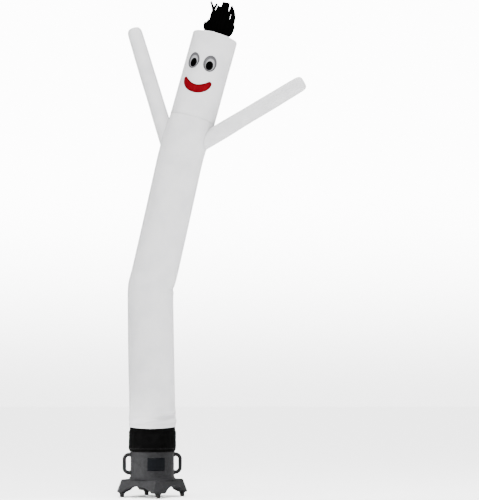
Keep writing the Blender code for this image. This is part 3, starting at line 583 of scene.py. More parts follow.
def ribbed_strip(name):
    """Ribbed webbing with upright cords 3 mm apart, which keeps the cuff from sliding. Its colour is
    painted lighter on the cords and darker between them, a painted highlight and painted shade.
    """
    material, tree = blank_material(name)
    place = put(tree, "ShaderNodeTexCoord").outputs["Object"]
    shifted = put(
        tree, "ShaderNodeVectorMath",
        {0: place, 1: -BLOWER_PLACE.translation}, operation="ADD").outputs[0]
    across = put(tree, "ShaderNodeSeparateXYZ", {"Vector": shifted})
    angle = put(tree, "ShaderNodeMath", {0: across.outputs["Y"], 1: across.outputs["X"]}, operation="ARCTAN2")
    cords = put(tree, "ShaderNodeMath", {0: angle.outputs[0], 1: TUBE_RADIUS / 0.003 * 2 * math.pi},
                operation="MULTIPLY")
    rib = put(tree, "ShaderNodeMath", {0: cords.outputs[0]}, operation="SINE")
    tone = put(tree, "ShaderNodeMapRange", {"Value": rib.outputs[0], "From Min": -1.0, "From Max": 1.0})
    # painted highlight and shade: lighter on each cord and darker in the groove between cords
    colour = put(
        tree, "ShaderNodeMix",
        {0: tone.outputs[0], 6: linear("#121316"), 7: linear("#24282D")}, data_type="RGBA")
    corded = put(tree, "ShaderNodeBump", {"Height": tone.outputs[0], "Distance": 0.0006})
    shader = put(
        tree, "ShaderNodeBsdfPrincipled",
        {"Base Color": colour.outputs[2], "Roughness": 0.75, "Normal": corded.outputs["Normal"],
         "Specular IOR Level": 0.1})
    put(tree, "ShaderNodeOutputMaterial", {"Surface": shader.outputs["BSDF"]})
    return material


def bare_vinyl(name):
    """Satin cast vinyl, left bare. Smooth, with the orange peel of its glue and a few hair scratches."""
    material, tree = blank_material(name)
    place = put(tree, "ShaderNodeTexCoord").outputs["Object"]
    peel = put(tree, "ShaderNodeTexNoise", {"Vector": place, "Scale": 420.0, "Detail": 2.0})
    stretch = put(tree, "ShaderNodeMapping", {"Vector": place, "Scale": (40.0, 40.0, 900.0)})
    hair = put(tree, "ShaderNodeTexNoise", {"Vector": stretch.outputs[0], "Scale": 1.0, "Detail": 4.0})
    scratch = put(
        tree, "ShaderNodeMapRange",
        {"Value": hair.outputs["Fac"], "From Min": 0.62, "From Max": 0.80})
    colour = put(
        tree, "ShaderNodeMix",
        {0: scratch.outputs[0], 6: linear("#040507"), 7: linear("#101215")}, data_type="RGBA")
    rough = put(tree, "ShaderNodeMapRange", {"Value": hair.outputs["Fac"], "To Min": 0.28, "To Max": 0.48})
    peeled = put(tree, "ShaderNodeBump", {"Height": peel.outputs["Fac"], "Distance": 0.00008})
    shader = put(
        tree, "ShaderNodeBsdfPrincipled",
        {"Base Color": colour.outputs[2], "Roughness": rough.outputs[0], "Normal": peeled.outputs["Normal"],
         "Specular IOR Level": 0.03})
    put(tree, "ShaderNodeOutputMaterial", {"Surface": shader.outputs["BSDF"]})
    return material


def blacked_steel(name):
    """Steel rivet with a black oxide skin, rubbed bright here and there."""
    material, tree = blank_material(name)
    place = put(tree, "ShaderNodeTexCoord").outputs["Object"]
    wear = put(tree, "ShaderNodeTexNoise", {"Vector": place, "Scale": 900.0, "Detail": 4.0, "Roughness": 0.7})
    rubbed = put(
        tree, "ShaderNodeMapRange",
        {"Value": wear.outputs["Fac"], "From Min": 0.55, "From Max": 0.80})
    colour = put(
        tree, "ShaderNodeMix",
        {0: rubbed.outputs[0], 6: linear("#0B0B0C"), 7: linear("#3A3A3C")}, data_type="RGBA")
    pitted = put(tree, "ShaderNodeBump", {"Height": wear.outputs["Fac"], "Distance": 0.00006})
    shader = put(
        tree, "ShaderNodeBsdfPrincipled",
        {"Base Color": colour.outputs[2], "Roughness": 0.45, "Metallic": 1.0,
         "Normal": pitted.outputs["Normal"]})
    put(tree, "ShaderNodeOutputMaterial", {"Surface": shader.outputs["BSDF"]})
    return material


def studio_paper(name):
    """Matt white paper roll, with only its fibre to be seen up close."""
    material, tree = blank_material(name)
    place = put(tree, "ShaderNodeTexCoord").outputs["Object"]
    fibre = put(tree, "ShaderNodeTexNoise", {"Vector": place, "Scale": 180.0, "Detail": 3.0})
    colour = put(
        tree, "ShaderNodeMix",
        {0: fibre.outputs["Fac"], 6: linear("#FBFBFB"), 7: linear("#F6F6F6")}, data_type="RGBA")
    fibrous = put(tree, "ShaderNodeBump", {"Height": fibre.outputs["Fac"], "Distance": 0.0001})
    shader = put(
        tree, "ShaderNodeBsdfPrincipled",
        {"Base Color": colour.outputs[2], "Roughness": 0.9, "Normal": fibrous.outputs["Normal"],
         "Specular IOR Level": 0.1})
    put(tree, "ShaderNodeOutputMaterial", {"Surface": shader.outputs["BSDF"]})
    return material


WHITE_RIPSTOP = ripstop("white ripstop nylon", "#B2B2B3", "#BABABB", "#AAAAAC", 0.60, 0.0014, 0.04, 0.10)
BLACK_RIPSTOP = ripstop("black ripstop nylon strips", "#010101", "#030303", "#020202", 0.70, 0.0012, 0.0, 0.0)
EYE_CLOTH = applique_cloth("grey applique cloth", "#464648", "#3E3E40", 0.08)
INNER_CLOTH = applique_cloth("pale grey applique cloth", "#7A7A7B", "#717173", 0.08)
PUPIL_CLOTH = applique_cloth("black applique cloth", "#010101", "#020202", 0.0)
MOUTH_CLOTH = applique_cloth("dark red applique cloth", "#540008", "#4A0007", 0.02)
# Embroidery threads: the first colour is a painted highlight on each pass, the second painted shade between
# passes
GREY_BORDER = embroidery_thread("grey embroidery thread", "#3A3A3B", "#2C2C2D", 0.08)
PALE_BORDER = embroidery_thread("pale grey embroidery thread", "#6C6C6E", "#5E5E5F", 0.08)
BLACK_BORDER = embroidery_thread("black embroidery thread", "#030303", "#010101", 0.01)
RED_BORDER = embroidery_thread("dark red embroidery thread", "#420105", "#300103", 0.03)
# Sewing threads: the first colour is a painted highlight on the ply, the second painted shade between plies
WHITE_THREAD = sewing_thread("white sewing thread", "#B2B2B3", "#9A9A9C")
BLACK_THREAD = sewing_thread("black sewing thread", "#060606", "#020202")
CUFF_CLOTH = cuff_oxford("black oxford nylon", "#020202", "#050505")
# Pebbled skins: the first colour is a painted highlight, drawn on the grain tops and the convex edges
HOUSING_SKIN = moulded_polyethylene("pebbled charcoal polyethylene", "#1C1C1E", "#0B0B0C", 0.74, 0.0024)
HANDLE_SKIN = moulded_polyethylene("pebbled charcoal handle polyethylene", "#18181A", "#09090A", 0.80, 0.0022)
FOOT_RUBBER = foot_rubber("scuffed black rubber")
GRIP_STRIP = ribbed_strip("ribbed grey webbing")
BARE_VINYL = bare_vinyl("satin black vinyl")
RIVET_STEEL = blacked_steel("blacked rivet steel")
PAPER = studio_paper("white studio paper")


# Mesh makers


def polar(radius, angle, height):
    """The point at one distance and turn from the upright axis."""
    return Vector((radius * math.cos(angle), radius * math.sin(angle), height))


def skin(name, rows, width, stations, wrap=True, hole=None):
    """A cloth skin over rows of points. It keeps, at each corner, how far round and along the cut
    cloth that corner lies, for the weave. Faces whose corners all lie in the hole are left out."""
    count = len(rows[0])
    columns = count if wrap else count - 1
    points = [point for row in rows for point in row]
    open_points = [bool(hole and hole(point)) for point in points]
    faces = []
    measure = []
    for r in range(len(rows) - 1):
        for i in range(columns):
            j = (i + 1) % count
            face = (r * count + i, r * count + j, (r + 1) * count + j, (r + 1) * count + i)
            if all(open_points[corner] for corner in face):
                continue
            faces.append(face)
            left, right = width * i / columns, width * (i + 1) / columns
            low, high = stations[r], stations[r + 1]
            measure += [left, low, 0, right, low, 0, right, high, 0, left, high, 0]
    mesh = bpy.data.meshes.new(name)
    mesh.from_pydata(points, [], faces)
    layer = mesh.attributes.new("cloth", "FLOAT_VECTOR", "CORNER")
    layer.data.foreach_set("vector", measure)
    return mesh


def tidy_mesh(mesh, merge=0.00002):
    """Joins points that fall together and turns every face outward."""
    bm = bmesh.new()
    bm.from_mesh(mesh)
    bmesh.ops.remove_doubles(bm, verts=bm.verts, dist=merge)
    loose = [vert for vert in bm.verts if not vert.link_faces]
    bmesh.ops.delete(bm, geom=loose, context="VERTS")
    bmesh.ops.recalc_face_normals(bm, faces=bm.faces)
    bm.to_mesh(mesh)
    bm.free()


def show(name, mesh, material, nodes=(), sharp=60.0):
    """Shows a finished mesh on the body, in place of the plain solids that it stands for."""
    mesh.transform(BLOWER_PLACE)
    mesh.materials.append(material)
    mesh.shade_smooth()
    mesh.set_sharp_from_angle(angle=math.radians(sharp))
    piece = bpy.data.objects.new(name, mesh)
    bpy.context.scene.collection.objects.link(piece)
    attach(piece, "root")
    if nodes:
        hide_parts(*nodes)
    return piece


def close_ends(mesh, count, both=True):
    """Closes the last ring of a tube of so many columns, and the first one too unless told not to."""
    bm = bmesh.new()
    bm.from_mesh(mesh)
    verts = list(bm.verts)
    bm.faces.new(verts[-count:])
    if both:
        bm.faces.new(verts[count - 1::-1])
    bm.to_mesh(mesh)
    bm.free()


def thicken(piece, thickness, outward=False):
    """Gives a skin its thickness, inward unless told otherwise."""
    solidify = piece.modifiers.new("cloth thickness", "SOLIDIFY")
    solidify.thickness = thickness
    solidify.offset = 1.0 if outward else -1.0
    solidify.use_even_offset = True
    return piece


def smooth_row(rows, height):
    """Smooth values between the rows of a table whose first column is the height."""
    if height <= rows[0][0]:
        return rows[0][1:]
    if height >= rows[-1][0]:
        return rows[-1][1:]
    last = len(rows) - 1
    k = max(i for i in range(last) if rows[i][0] <= height)
    low, high = rows[k], rows[k + 1]
    before, after = rows[max(k - 1, 0)], rows[min(k + 2, last)]
    span = high[0] - low[0]
    t = (height - low[0]) / span
    values = []
    for column in range(1, len(low)):
        slope_low = (high[column] - before[column]) / (high[0] - before[0])
        slope_high = (after[column] - low[column]) / (after[0] - low[0])
        values.append(
            low[column] * (2 * t**3 - 3 * t**2 + 1)
            + slope_low * span * (t**3 - 2 * t**2 + t)
            + high[column] * (3 * t**2 - 2 * t**3)
            + slope_high * span * (t**3 - t**2))
    return values


def even(start, end, count):
    """Evenly spaced values from start to end, both included."""
    return [start + (end - start) * i / (count - 1) for i in range(count)]


def bell(distance, reach):
    """A smooth hump, 1 at no distance and fading over the reach."""
    return math.exp(-(distance / reach) ** 2)


def fold_depth(angle, height, folds):
    """How far these folds together push the cloth out at one place."""
    total = 0.0
    for turn, middle, reach_round, reach_up, depth, rise in folds:
        away = math.remainder(angle - math.radians(turn), 2 * math.pi)
        up = height - middle - rise * away
        if abs(up) < 3 * reach_up:
            total += depth * bell(away, math.radians(reach_round)) * bell(up, reach_up)
    return total


def pucker(angle, waves, seed):
    """Uneven gathers round a sewn ring, from about -1 to 1."""
    return 2.0 * noise.noise(polar(waves / 6, angle, seed))


def lap_ridge(angle):
    """The doubled cloth of the long seam at the back."""
    away = abs(math.remainder(angle - math.pi / 2, 2 * math.pi)) * TUBE_RADIUS
    return 0.0007 * bell(away, 0.008) ** 2


# Body tube


def hem_height(angle):
    """The hem's lower edge, lower before and behind than at the sides."""
    return HEM_FRONT + HEM_SIDE_RISE * math.cos(angle) ** 2


def body_radius(angle, height):
    """The tube with its folds, its gathers at neck and hem, its slack and its turned hem."""
    radius = TUBE_RADIUS + fold_depth(angle, height, MAIN_FOLDS) + fold_depth(angle, height, CREASES)
    radius -= 0.0007 * bell(NECK_Z - height, 0.014)
    radius += 0.0009 * pucker(angle, 46, 0.3) * bell(NECK_Z - height, 0.030)
    radius += 0.0008 * pucker(angle, 40, 7.7) * bell(height - HEM_FRONT - 0.030, 0.026)
    slack = noise.noise(polar(1.3, angle, height * 2.6))
    radius += 0.0012 * slack * (1 - bell(height - HEM_FRONT, 0.05)) * (1 - bell(NECK_Z - height, 0.05))
    hem_fold = height - hem_height(angle)
    middle, reach, fullness = HEM_BULGE
    radius += fullness * bell(height - middle, reach)
    radius += 0.0008 * bell(hem_fold - 0.004, 0.006) - 0.0006 * bell(hem_fold - 0.023, 0.003)
    return radius + lap_ridge(angle)


def section_frame(height):
    """Centre of the body's section at one height, and the direction across it to the right."""
    centre_x, lean = smooth_row(SPINE, height)
    lean = math.radians(lean)
    return Vector((centre_x, 0, height)), Vector((math.cos(lean), 0, -math.sin(lean)))


def body_point(angle, height, lift=0.0):
    """A point of the body's skin, or so far off it."""
    centre, across = section_frame(height)
    radius = body_radius(angle, height) + lift
    return centre + radius * (math.cos(angle) * across + math.sin(angle) * BEHIND)


def depth_in_body(point):
    """How far a point lies outside the body's skin; negative is inside."""
    height = point.z
    for _ in range(4):
        centre, across = section_frame(height)
        along = across.cross(BEHIND)
        height = min(max(height + (point - centre).dot(along) * along.z, SPINE[0][0]), NECK_Z)
    centre, across = section_frame(height)
    away = point - centre
    angle = math.atan2(away.y, away.dot(across))
    return math.hypot(away.y, away.dot(across)) - body_radius(angle, height)


def round_angles(count):
    """Evenly spaced turns once round."""
    return [2 * math.pi * i / count for i in range(count)]


def in_sleeve_bore(point):
    """True well inside either sleeve, where the body's cloth is cut away."""
    for _, (start, tip), _ in ARMS:
        line = tip - start
        share = (point - start).dot(line) / line.length_squared
        if share > 0 and (point - start - line * share).length < SLEEVE_HOLE:
            return True
    return False


def make_body():
    """The body tube in one cloth, with both sleeve holes cut out."""
    rows = []
    stations = []
    for start, end, count in BODY_ROWS:
        for rise in even(start, end, count):
            share = rise / BODY_ROWS[-1][1]
            row = []
            for angle in round_angles(TUBE_COLUMNS):
                foot = hem_height(angle)
                row.append(body_point(angle, foot + (NECK_Z - foot) * share))
            rows.append(row)
            stations.append(rise)
    mesh = skin("body_cloth", rows, TUBE_ROUND, stations, hole=in_sleeve_bore)
    return thicken(show("body_cloth", mesh, WHITE_RIPSTOP, ["body", "shoulders"]), CLOTH)


# Head


def head_frame():
    """Places a piece made on the head's axis: x across, y behind, z up the head."""
    return Matrix.Translation((NECK_X, 0, NECK_Z)) @ Matrix.Rotation(HEAD_LEAN, 4, "Y")


def head_radius(angle, height, radius):
    """The head's cloth: puckered at the neck seam and the top seam, nearly smooth at the face."""
    radius += 0.0009 * pucker(angle, 46, 0.3) * bell(height, 0.030)
    top = height - HEAD_HEIGHT
    radius += 0.0011 * pucker(angle, 60, 3.1) * bell(top, 0.022) * (1 if radius > 0.13 else 0)
    face = bell(math.remainder(angle - FACE_TURN, 2 * math.pi), 0.9)
    slack = noise.noise(polar(1.5, angle, height * 4.0 + 9.0))
    radius += 0.0010 * slack * (1 - 0.8 * face) * (1 - bell(height, 0.05)) * (1 if radius > 0.13 else 0)
    return radius + (lap_ridge(angle) if height < HEAD_HEIGHT else 0)


def on_head(angle, height, lift=0.0):
    """A point of the head tube's skin, or so far off it."""
    radius = head_radius(angle, height, smooth_row(HEAD_PROFILE[:5], height)[0]) + lift
    return head_frame() @ polar(radius, angle, height)


def head_profile_points():
    """The profile with short steps up the tube and over the top panel."""
    points = []
    for (low, low_radius), (high, high_radius) in zip(HEAD_PROFILE, HEAD_PROFILE[1:]):
        steps = max(1, round(math.hypot(high - low, high_radius - low_radius) / 0.009))
        for i in range(steps):
            t = i / steps
            points.append((low + (high - low) * t, low_radius + (high_radius - low_radius) * t))
    return points + [HEAD_PROFILE[-1]]


def make_head():
    """The head tube and its top panel, in to the vent."""
    place = head_frame()
    rows = []
    stations = [0.0]
    profile = head_profile_points()
    for before, after in zip(profile, profile[1:]):
        stations.append(stations[-1] + math.dist(before, after))
    for height, radius in profile:
        row = []
        for angle in round_angles(TUBE_COLUMNS):
            r = head_radius(angle, height, radius)
            ripple = 0.0022 * pucker(angle, 34, 5.0) * bell(radius - 0.135, 0.016)
            row.append(place @ polar(r, angle, height + ripple))
        rows.append(row)
    mesh = skin("head_cloth", rows, TUBE_ROUND, stations)
    return thicken(show("head_cloth", mesh, WHITE_RIPSTOP, ["head"]), CLOTH)


# Sleeves


def arm_directions(start, tip):
    """Two directions across a sleeve, square to its line and to each other."""
    turn = (tip - start).to_track_quat("Z", "X")
    return turn @ Vector((1, 0, 0)), turn @ Vector((0, 1, 0))


def arm_point(arm, angle, share, seed, lift=0.0):
    """A point of a sleeve's skin at one share of its line, or so far off it."""
    start, tip = arm
    first, second = arm_directions(start, tip)
    radius = smooth_row(ARM_PROFILE, share)[0]
    gathers = 0.0016 * pucker(angle, 30, seed) * bell(share - 0.985, 0.035)
    gathers += 0.0010 * pucker(angle, 24, seed + 4) * bell(share - 0.20, 0.09)
    slack = 0.0011 * noise.noise(polar(0.9, angle, share * 5 + seed))
    radius += min(radius / 0.05, 1) * (gathers + slack) + lift
    return start + (tip - start) * share + radius * (math.cos(angle) * first + math.sin(angle) * second)


def sleeve_start(arm, angle, seed):
    """The share along the sleeve where this line of it comes out of the body's skin."""
    low, high = 0.0, 0.0
    while high < 0.7 and depth_in_body(arm_point(arm, angle, high, seed)) < 0:
        low, high = high, high + 0.02
    for _ in range(14):
        middle = (low + high) / 2
        if depth_in_body(arm_point(arm, angle, middle, seed)) < 0:
            low = middle
        else:
            high = middle
    return high


def make_sleeve(side, arm, seed):
    """A sleeve from the body's skin to its closed tip, and the share of its line where each column
    of it starts."""
    start, tip = arm
    length = (tip - start).length
    angles = round_angles(ARM_COLUMNS)
    roots = [sleeve_start(arm, angle, seed) - CLOTH / length for angle in angles]
    rows = []
    stations = []
    for r in range(ARM_ROWS + 1):
        t = 1 - (1 - r / ARM_ROWS) ** 1.25
        rows.append([arm_point(arm, a, root + (1 - root) * t, seed) for a, root in zip(angles, roots)])
        stations.append(length * (0.2 + 0.8 * t))
    mesh = skin("sleeve_" + side, rows, SLEEVE_ROUND, stations)
    close_ends(mesh, ARM_COLUMNS, both=False)
    piece = thicken(show("sleeve_" + side, mesh, WHITE_RIPSTOP, ["arm_" + side]), CLOTH)
    return piece, roots


# Seams


def thread_run(name, path, material):
    """A row of raised stitches along points given with their outward normals."""
    bm = bmesh.new()
    travelled, target = 0.0, STITCH_PITCH / 2
    for (a, normal_a), (b, normal_b) in zip(path, path[1:]):
        step = (b - a).length
        while travelled + step >= target and step > 0:
            t = (target - travelled) / step
            add_stitch(bm, a.lerp(b, t), (b - a).normalized(), normal_a.lerp(normal_b, t).normalized())
            target += STITCH_PITCH
        travelled += step
    bmesh.ops.recalc_face_normals(bm, faces=bm.faces)
    mesh = bpy.data.meshes.new(name)
    bm.to_mesh(mesh)
    bm.free()
    return show(name, mesh, material)


def add_stitch(bm, place, along, normal):
    """One stitch: a short thread that rises from its hole and goes down into the next."""
    side = normal.cross(along)
    rings = []
    for share, size, lift in STITCH_RINGS:
        centre = place + along * (STITCH_PITCH * share) + normal * (THREAD_RADIUS * lift)
        ring = []
        for i in range(6):
            angle = math.pi * i / 3
            out = math.cos(angle) * side + math.sin(angle) * normal
            ring.append(bm.verts.new(centre + THREAD_RADIUS * size * out))
        rings.append(ring)
    for low, high in zip(rings, rings[1:]):
        for i in range(6):
            bm.faces.new((low[i], low[(i + 1) % 6], high[(i + 1) % 6], high[i]))
    bm.faces.new(list(reversed(rings[0])))
    bm.faces.new(rings[-1])


def closed_path(place, normal):
    """A path once round, from functions of the turn."""
    turns = [2 * math.pi * i / PATH_STEPS for i in range(PATH_STEPS + 1)]
    return [(place(turn), normal(turn)) for turn in turns]


def around_body(height_at):
    """A path round the body tube, at a height that may change with the turn."""
    def place(angle):
        return body_point(angle, height_at(angle), STITCH_LIFT)

    def normal(angle):
        _, across = section_frame(height_at(angle))
        return math.cos(angle) * across + math.sin(angle) * BEHIND

    return closed_path(place, normal)


def around_head(height):
    """A path round the head tube, so far above the neck."""
    turn = head_frame().to_3x3()
    return closed_path(
        lambda angle: on_head(angle, height, STITCH_LIFT),
        lambda angle: turn @ polar(1, angle, 0))


def make_seams(roots):
    """The stitched lines: two round the hem, one on each side of the neck, one below the head's top,
    two up the back of body and head, and one round the root of each sleeve."""
    paths = {}
    for number, rise in enumerate(HEM_ROWS, 1):
        paths["hem_stitches_%d" % number] = around_body(lambda angle, rise=rise: hem_height(angle) + rise)
    paths["neck_stitches_1"] = around_body(lambda angle: NECK_Z - NECK_ROW)
    paths["neck_stitches_2"] = around_head(NECK_ROW)
    paths["top_stitches"] = around_head(HEAD_HEIGHT - TOP_ROW)
    for number, away in enumerate((-BACK_ROW, BACK_ROW), 1):
        angle = math.pi / 2 + away / TUBE_RADIUS
        lines = (
            ("back_seam_stitches_", body_point, even(HEM_FRONT + 0.030, NECK_Z - 0.012, 260)),
            ("head_seam_stitches_", on_head, even(0.014, HEAD_HEIGHT - 0.018, 80)),
        )
        for name, place, heights in lines:
            paths[name + str(number)] = [(place(angle, height, STITCH_LIFT), BEHIND) for height in heights]
    for side, arm, seed in ARMS:
        first, second = arm_directions(*arm)
        length = (arm[1] - arm[0]).length
        angles = round_angles(ARM_COLUMNS) + [2 * math.pi]
        path = []
        for angle, root in zip(angles, roots[side] + roots[side][:1]):
            outward = math.cos(angle) * first + math.sin(angle) * second
            path.append((arm_point(arm, angle, root + SLEEVE_ROW / length, seed, STITCH_LIFT), outward))
        paths[side + "_sleeve_stitches"] = path
    return [thread_run(name, path, WHITE_THREAD) for name, path in paths.items()]


# Face


def on_face(turn, across, up, lift):
    """A point of the head's skin at a flat distance across from one turn."""
    return on_head(turn + math.asin(across / TUBE_RADIUS), up, lift)


def face_normal(turn, across):
    """The way straight out of the head's skin there."""
    return head_frame().to_3x3() @ polar(1, turn + math.asin(across / TUBE_RADIUS), 0)


def border(name, outline, turn, lift, half_width, material):
    """Embroidered edge: a low round ridge that follows a closed outline on the face."""
    count = len(outline)
    places = [on_face(turn, across, up, lift) for across, up in outline]
    sections = 10
    rows = []
    stations = [0.0]
    for i in range(count + 1):
        k = i % count
        normal = face_normal(turn, outline[k][0])
        along = (places[(k + 1) % count] - places[k - 1]).normalized()
        side = normal.cross(along)
        ring = []
        for s in range(sections):
            angle = 2 * math.pi * s / sections
            across, rise = half_width * math.cos(angle), BORDER_RISE * math.sin(angle)
            ring.append(places[k] + side * across + normal * rise)
        rows.append(ring)
        if i:
            stations.append(stations[-1] + (rows[-1][0] - rows[-2][0]).length)
    mesh = skin(name, rows, 4 * half_width, stations)
    tidy_mesh(mesh)
    return show(name, mesh, material)


def oval_outline(half, up, count):
    """An oval round a middle at one height, as places across and up."""
    return [(half[0] * math.cos(a), up + half[1] * math.sin(a)) for a in round_angles(count)]


def lay_flat_measure(mesh):
    """Measures a patch's weave straight across and up, as it was cut."""
    layer = mesh.attributes["cloth"]
    for loop, item in zip(mesh.loops, layer.data):
        point = mesh.vertices[loop.vertex_index].co
        item.vector = (point.x, point.z, 0)


def sewn_oval(name, nodes, turn, half, up, lift, edge_half, cloth, thread):
    """A flat oval of cloth sewn on the face, a little fuller in its middle, with its stitched border."""
    rows = []
    stations = []
    for r in range(12, -1, -1):
        share = r / 12
        puff = 0.0006 * (1 - share ** 2)
        row = []
        for a in round_angles(64):
            across, rise = half[0] * share * math.cos(a), half[1] * share * math.sin(a)
            row.append(on_face(turn, across, up + rise, lift + puff))
        rows.append(row)
        stations.append(half[0] * share)
    mesh = skin(name, rows, 2 * math.pi * half[0], stations)
    lay_flat_measure(mesh)
    tidy_mesh(mesh)
    piece = thicken(show(name, mesh, cloth, nodes), PATCH_THICKNESS)
    outline = oval_outline([size - edge_half * 0.9 for size in half], up, 96)
    edge = border(name.replace("cloth", "border"), outline, turn, lift - 0.0002, edge_half, thread)


def mouth_edges():
    """The smile's lower edge, half an oval, and its upper edge, a hollow curve, each from the left
    tip's top to the right one's. The tips are round."""
    tip = MOUTH_HALF - MOUTH_TIP
    end = math.radians(MOUTH_TIP_END)
    join = tip - MOUTH_TIP * math.sin(end)
    hollow = (MOUTH_CORNER + MOUTH_TIP * math.cos(end) - MOUTH_TOP) / join ** 2
    turns = [math.radians(degrees) for degrees in even(-90, 90, 49)]
    depth = MOUTH_CORNER - MOUTH_BOTTOM
    low_side = [(MOUTH_HALF * math.sin(a), MOUTH_CORNER - depth * math.cos(a)) for a in turns]
    high_side = [(join * math.sin(a), MOUTH_TOP + hollow * (join * math.sin(a)) ** 2) for a in turns]
    edges = []
    for middle, reach, outer in ((low_side, 90, 1), (high_side, MOUTH_TIP_END, -1)):
        arc = []
        for step in range(6):
            a = math.radians(reach * step / 6)
            arc.append((tip + outer * MOUTH_TIP * math.sin(a), MOUTH_CORNER + MOUTH_TIP * math.cos(a)))
        edges.append([(-across, up) for across, up in arc] + middle + list(reversed(arc)))
    return edges


def make_mouth():
    """The smile: one flat cloth between its two edges, with its stitched border."""
    lower, upper = mouth_edges()
    rows = []
    for (low_across, low_up), (high_across, high_up) in zip(lower, upper):
        row = []
        for step in range(9):
            t = step / 8
            across, up = low_across + (high_across - low_across) * t, low_up + (high_up - low_up) * t
            row.append(on_face(FACE_TURN, across, up, 0.0012 + 0.0007 * math.sin(math.pi * t)))
        rows.append(row)
    mesh = skin("mouth_cloth", rows, 0.04, [0.0] * len(rows), wrap=False)
    lay_flat_measure(mesh)
    tidy_mesh(mesh)
    piece = thicken(show("mouth_cloth", mesh, MOUTH_CLOTH, ["mouth"]), PATCH_THICKNESS)
    outline = lower + list(reversed(upper))[1:-1]
    edge = border("mouth_border", outline, FACE_TURN, 0.0010, 0.0022, RED_BORDER)


def make_eyes():
    """Each eye is three ovals sewn one on another: grey, pale grey and black."""
    for name, eye_turn, inner_turn, pupil_turn in EYES:
        eye, inner = "eye_cloth_" + name, "inner_eye_cloth_" + name
        sewn_oval(eye, ["eye_" + name], math.radians(eye_turn), EYE_HALF, EYE_HEIGHT,
                  0.0012, 0.0032, EYE_CLOTH, GREY_BORDER)
        sewn_oval(inner, [], math.radians(inner_turn), INNER_HALF, EYE_HEIGHT - INNER_DROP,
                  0.0023, 0.0014, INNER_CLOTH, PALE_BORDER)
        sewn_oval("pupil_cloth_" + name, ["pupil_" + name], math.radians(pupil_turn), PUPIL_HALF,
                  EYE_HEIGHT - PUPIL_DROP, 0.0036, 0.0016, PUPIL_CLOTH, BLACK_BORDER)


# Hair


def strip_rows(number, row, offset, spread, length, flutter_share, away):
    """One ribbon of a cut strip, from the ring up and over to its tip."""
    turn, reach, tip_across, tip_behind, tip_above, root_width, tip_width, bow, slant = row
    turn = math.radians(turn)
    out = polar(1, turn, 0)
    round_way = UP.cross(out)
    if round_way.x < 0:
        round_way = -round_way
    root = out * reach + Vector((0, 0, SEAT_HEIGHT + 0.0015))
    tip = Vector((tip_across, tip_behind, SEAT_HEIGHT + tip_above))
    middle = root.lerp(tip, 0.58) + out * 0.006 - Vector((0, 0, 0.02 * tip_above))
    middle.x += 0.10 * (root.x - tip.x) + bow
    rows = []
    for i in range(RIBBON_STEPS + 1):
        t = i / RIBBON_STEPS * length
        centre = root * (1 - t) ** 2 + middle * 2 * t * (1 - t) + tip * t * t
        way = (middle - root) * (1 - t) + (tip - middle) * t + UP * 0.0001
        wide = round_way.lerp(Vector((1, 0, 0)), 0.35 + 0.45 * t)
        wide = (wide - wide.project(way)).normalized()
        thick = way.normalized().cross(wide)
        flutter = noise.noise(Vector((number * 3.7, offset * 9.0, t * 3.2)))
        twist = RIBBON_TWIST * flutter * flutter_share * t
        wide, thick = (wide * math.cos(twist) + thick * math.sin(twist),
                       thick * math.cos(twist) - wide * math.sin(twist))
        half = (root_width * (1 - t) + tip_width * t) / 2 * (1 + 0.45 * math.sin(math.pi * t))
        centre += wide * half * offset + thick * away * min(4 * t, 1)
        waver = noise.noise(Vector((number * 1.9, offset * 5.0 + 4.0, t * 2.4)))
        centre += thick * 0.010 * t * waver * flutter_share
        ring = []
        for across in (-1.0, -0.33, 0.33, 1.0):
            crinkle = thick * 0.0022 * noise.noise(Vector((number * 2.3 + across, offset, t * 9.0)))
            cut = UP * slant * (offset + spread * across) * (1 if i == RIBBON_STEPS else 0)
            ring.append(centre + wide * half * spread * across + crinkle * t + cut)
        rows.append(ring)
    return rows


def make_hair():
    """Cut strips that stand in the air stream, held by a sewn ring round the vent."""
    place = head_frame()
    meshes = []
    for number, row in enumerate(STRIPS):
        for ribbon in RIBBONS:
            rows = [[place @ point for point in ring] for ring in strip_rows(number, row, *ribbon)]
            stations = [0.012 * i for i in range(len(rows))]
            meshes.append(skin("strip", rows, 0.014, stations, wrap=False))
    ring_rows = []
    for radius in HAIR_RING:
        row = []
        for angle in round_angles(96):
            lift = 0.0012 + 0.0008 * pucker(angle, 40, 2.0)
            row.append(place @ polar(radius, angle, SEAT_HEIGHT + lift))
        ring_rows.append(row)
    meshes.append(skin("ring", ring_rows, 0.40, [0.006 * i for i in range(len(HAIR_RING))]))
    mesh = join(meshes, "hair_strips")
    piece = thicken(show("hair_strips", mesh, BLACK_RIPSTOP, ["hair"]), HAIR_THICKNESS)


def join(meshes, name):
    """One mesh of several, with their cloth measure kept."""
    points, faces, measure = [], [], []
    for mesh in meshes:
        start = len(points)
        points += [vertex.co.copy() for vertex in mesh.vertices]
        faces += [tuple(start + corner for corner in face.vertices) for face in mesh.polygons]
        for item in mesh.attributes["cloth"].data:
            measure += list(item.vector)
    made = bpy.data.meshes.new(name)
    made.from_pydata(points, [], faces)
    layer = made.attributes.new("cloth", "FLOAT_VECTOR", "CORNER")
    layer.data.foreach_set("vector", measure)
    return made


# Cuff


def cuff_radius(angle, height, radius):
    """The cuff's cloth, gathered where it grips the barrel and slack between its hems."""
    gather = pucker(angle, 70, 1.0) * bell(height - 0.300, 0.014)
    slack = noise.noise(polar(2.0, angle, height * 9.0))
    body = min(max((height - 0.30) / 0.02, 0), 1) * min(max((0.432 - height) / 0.01, 0), 1)
    return radius + 0.0011 * gather + (CUFF_SLACK + 0.0016 * slack) * body


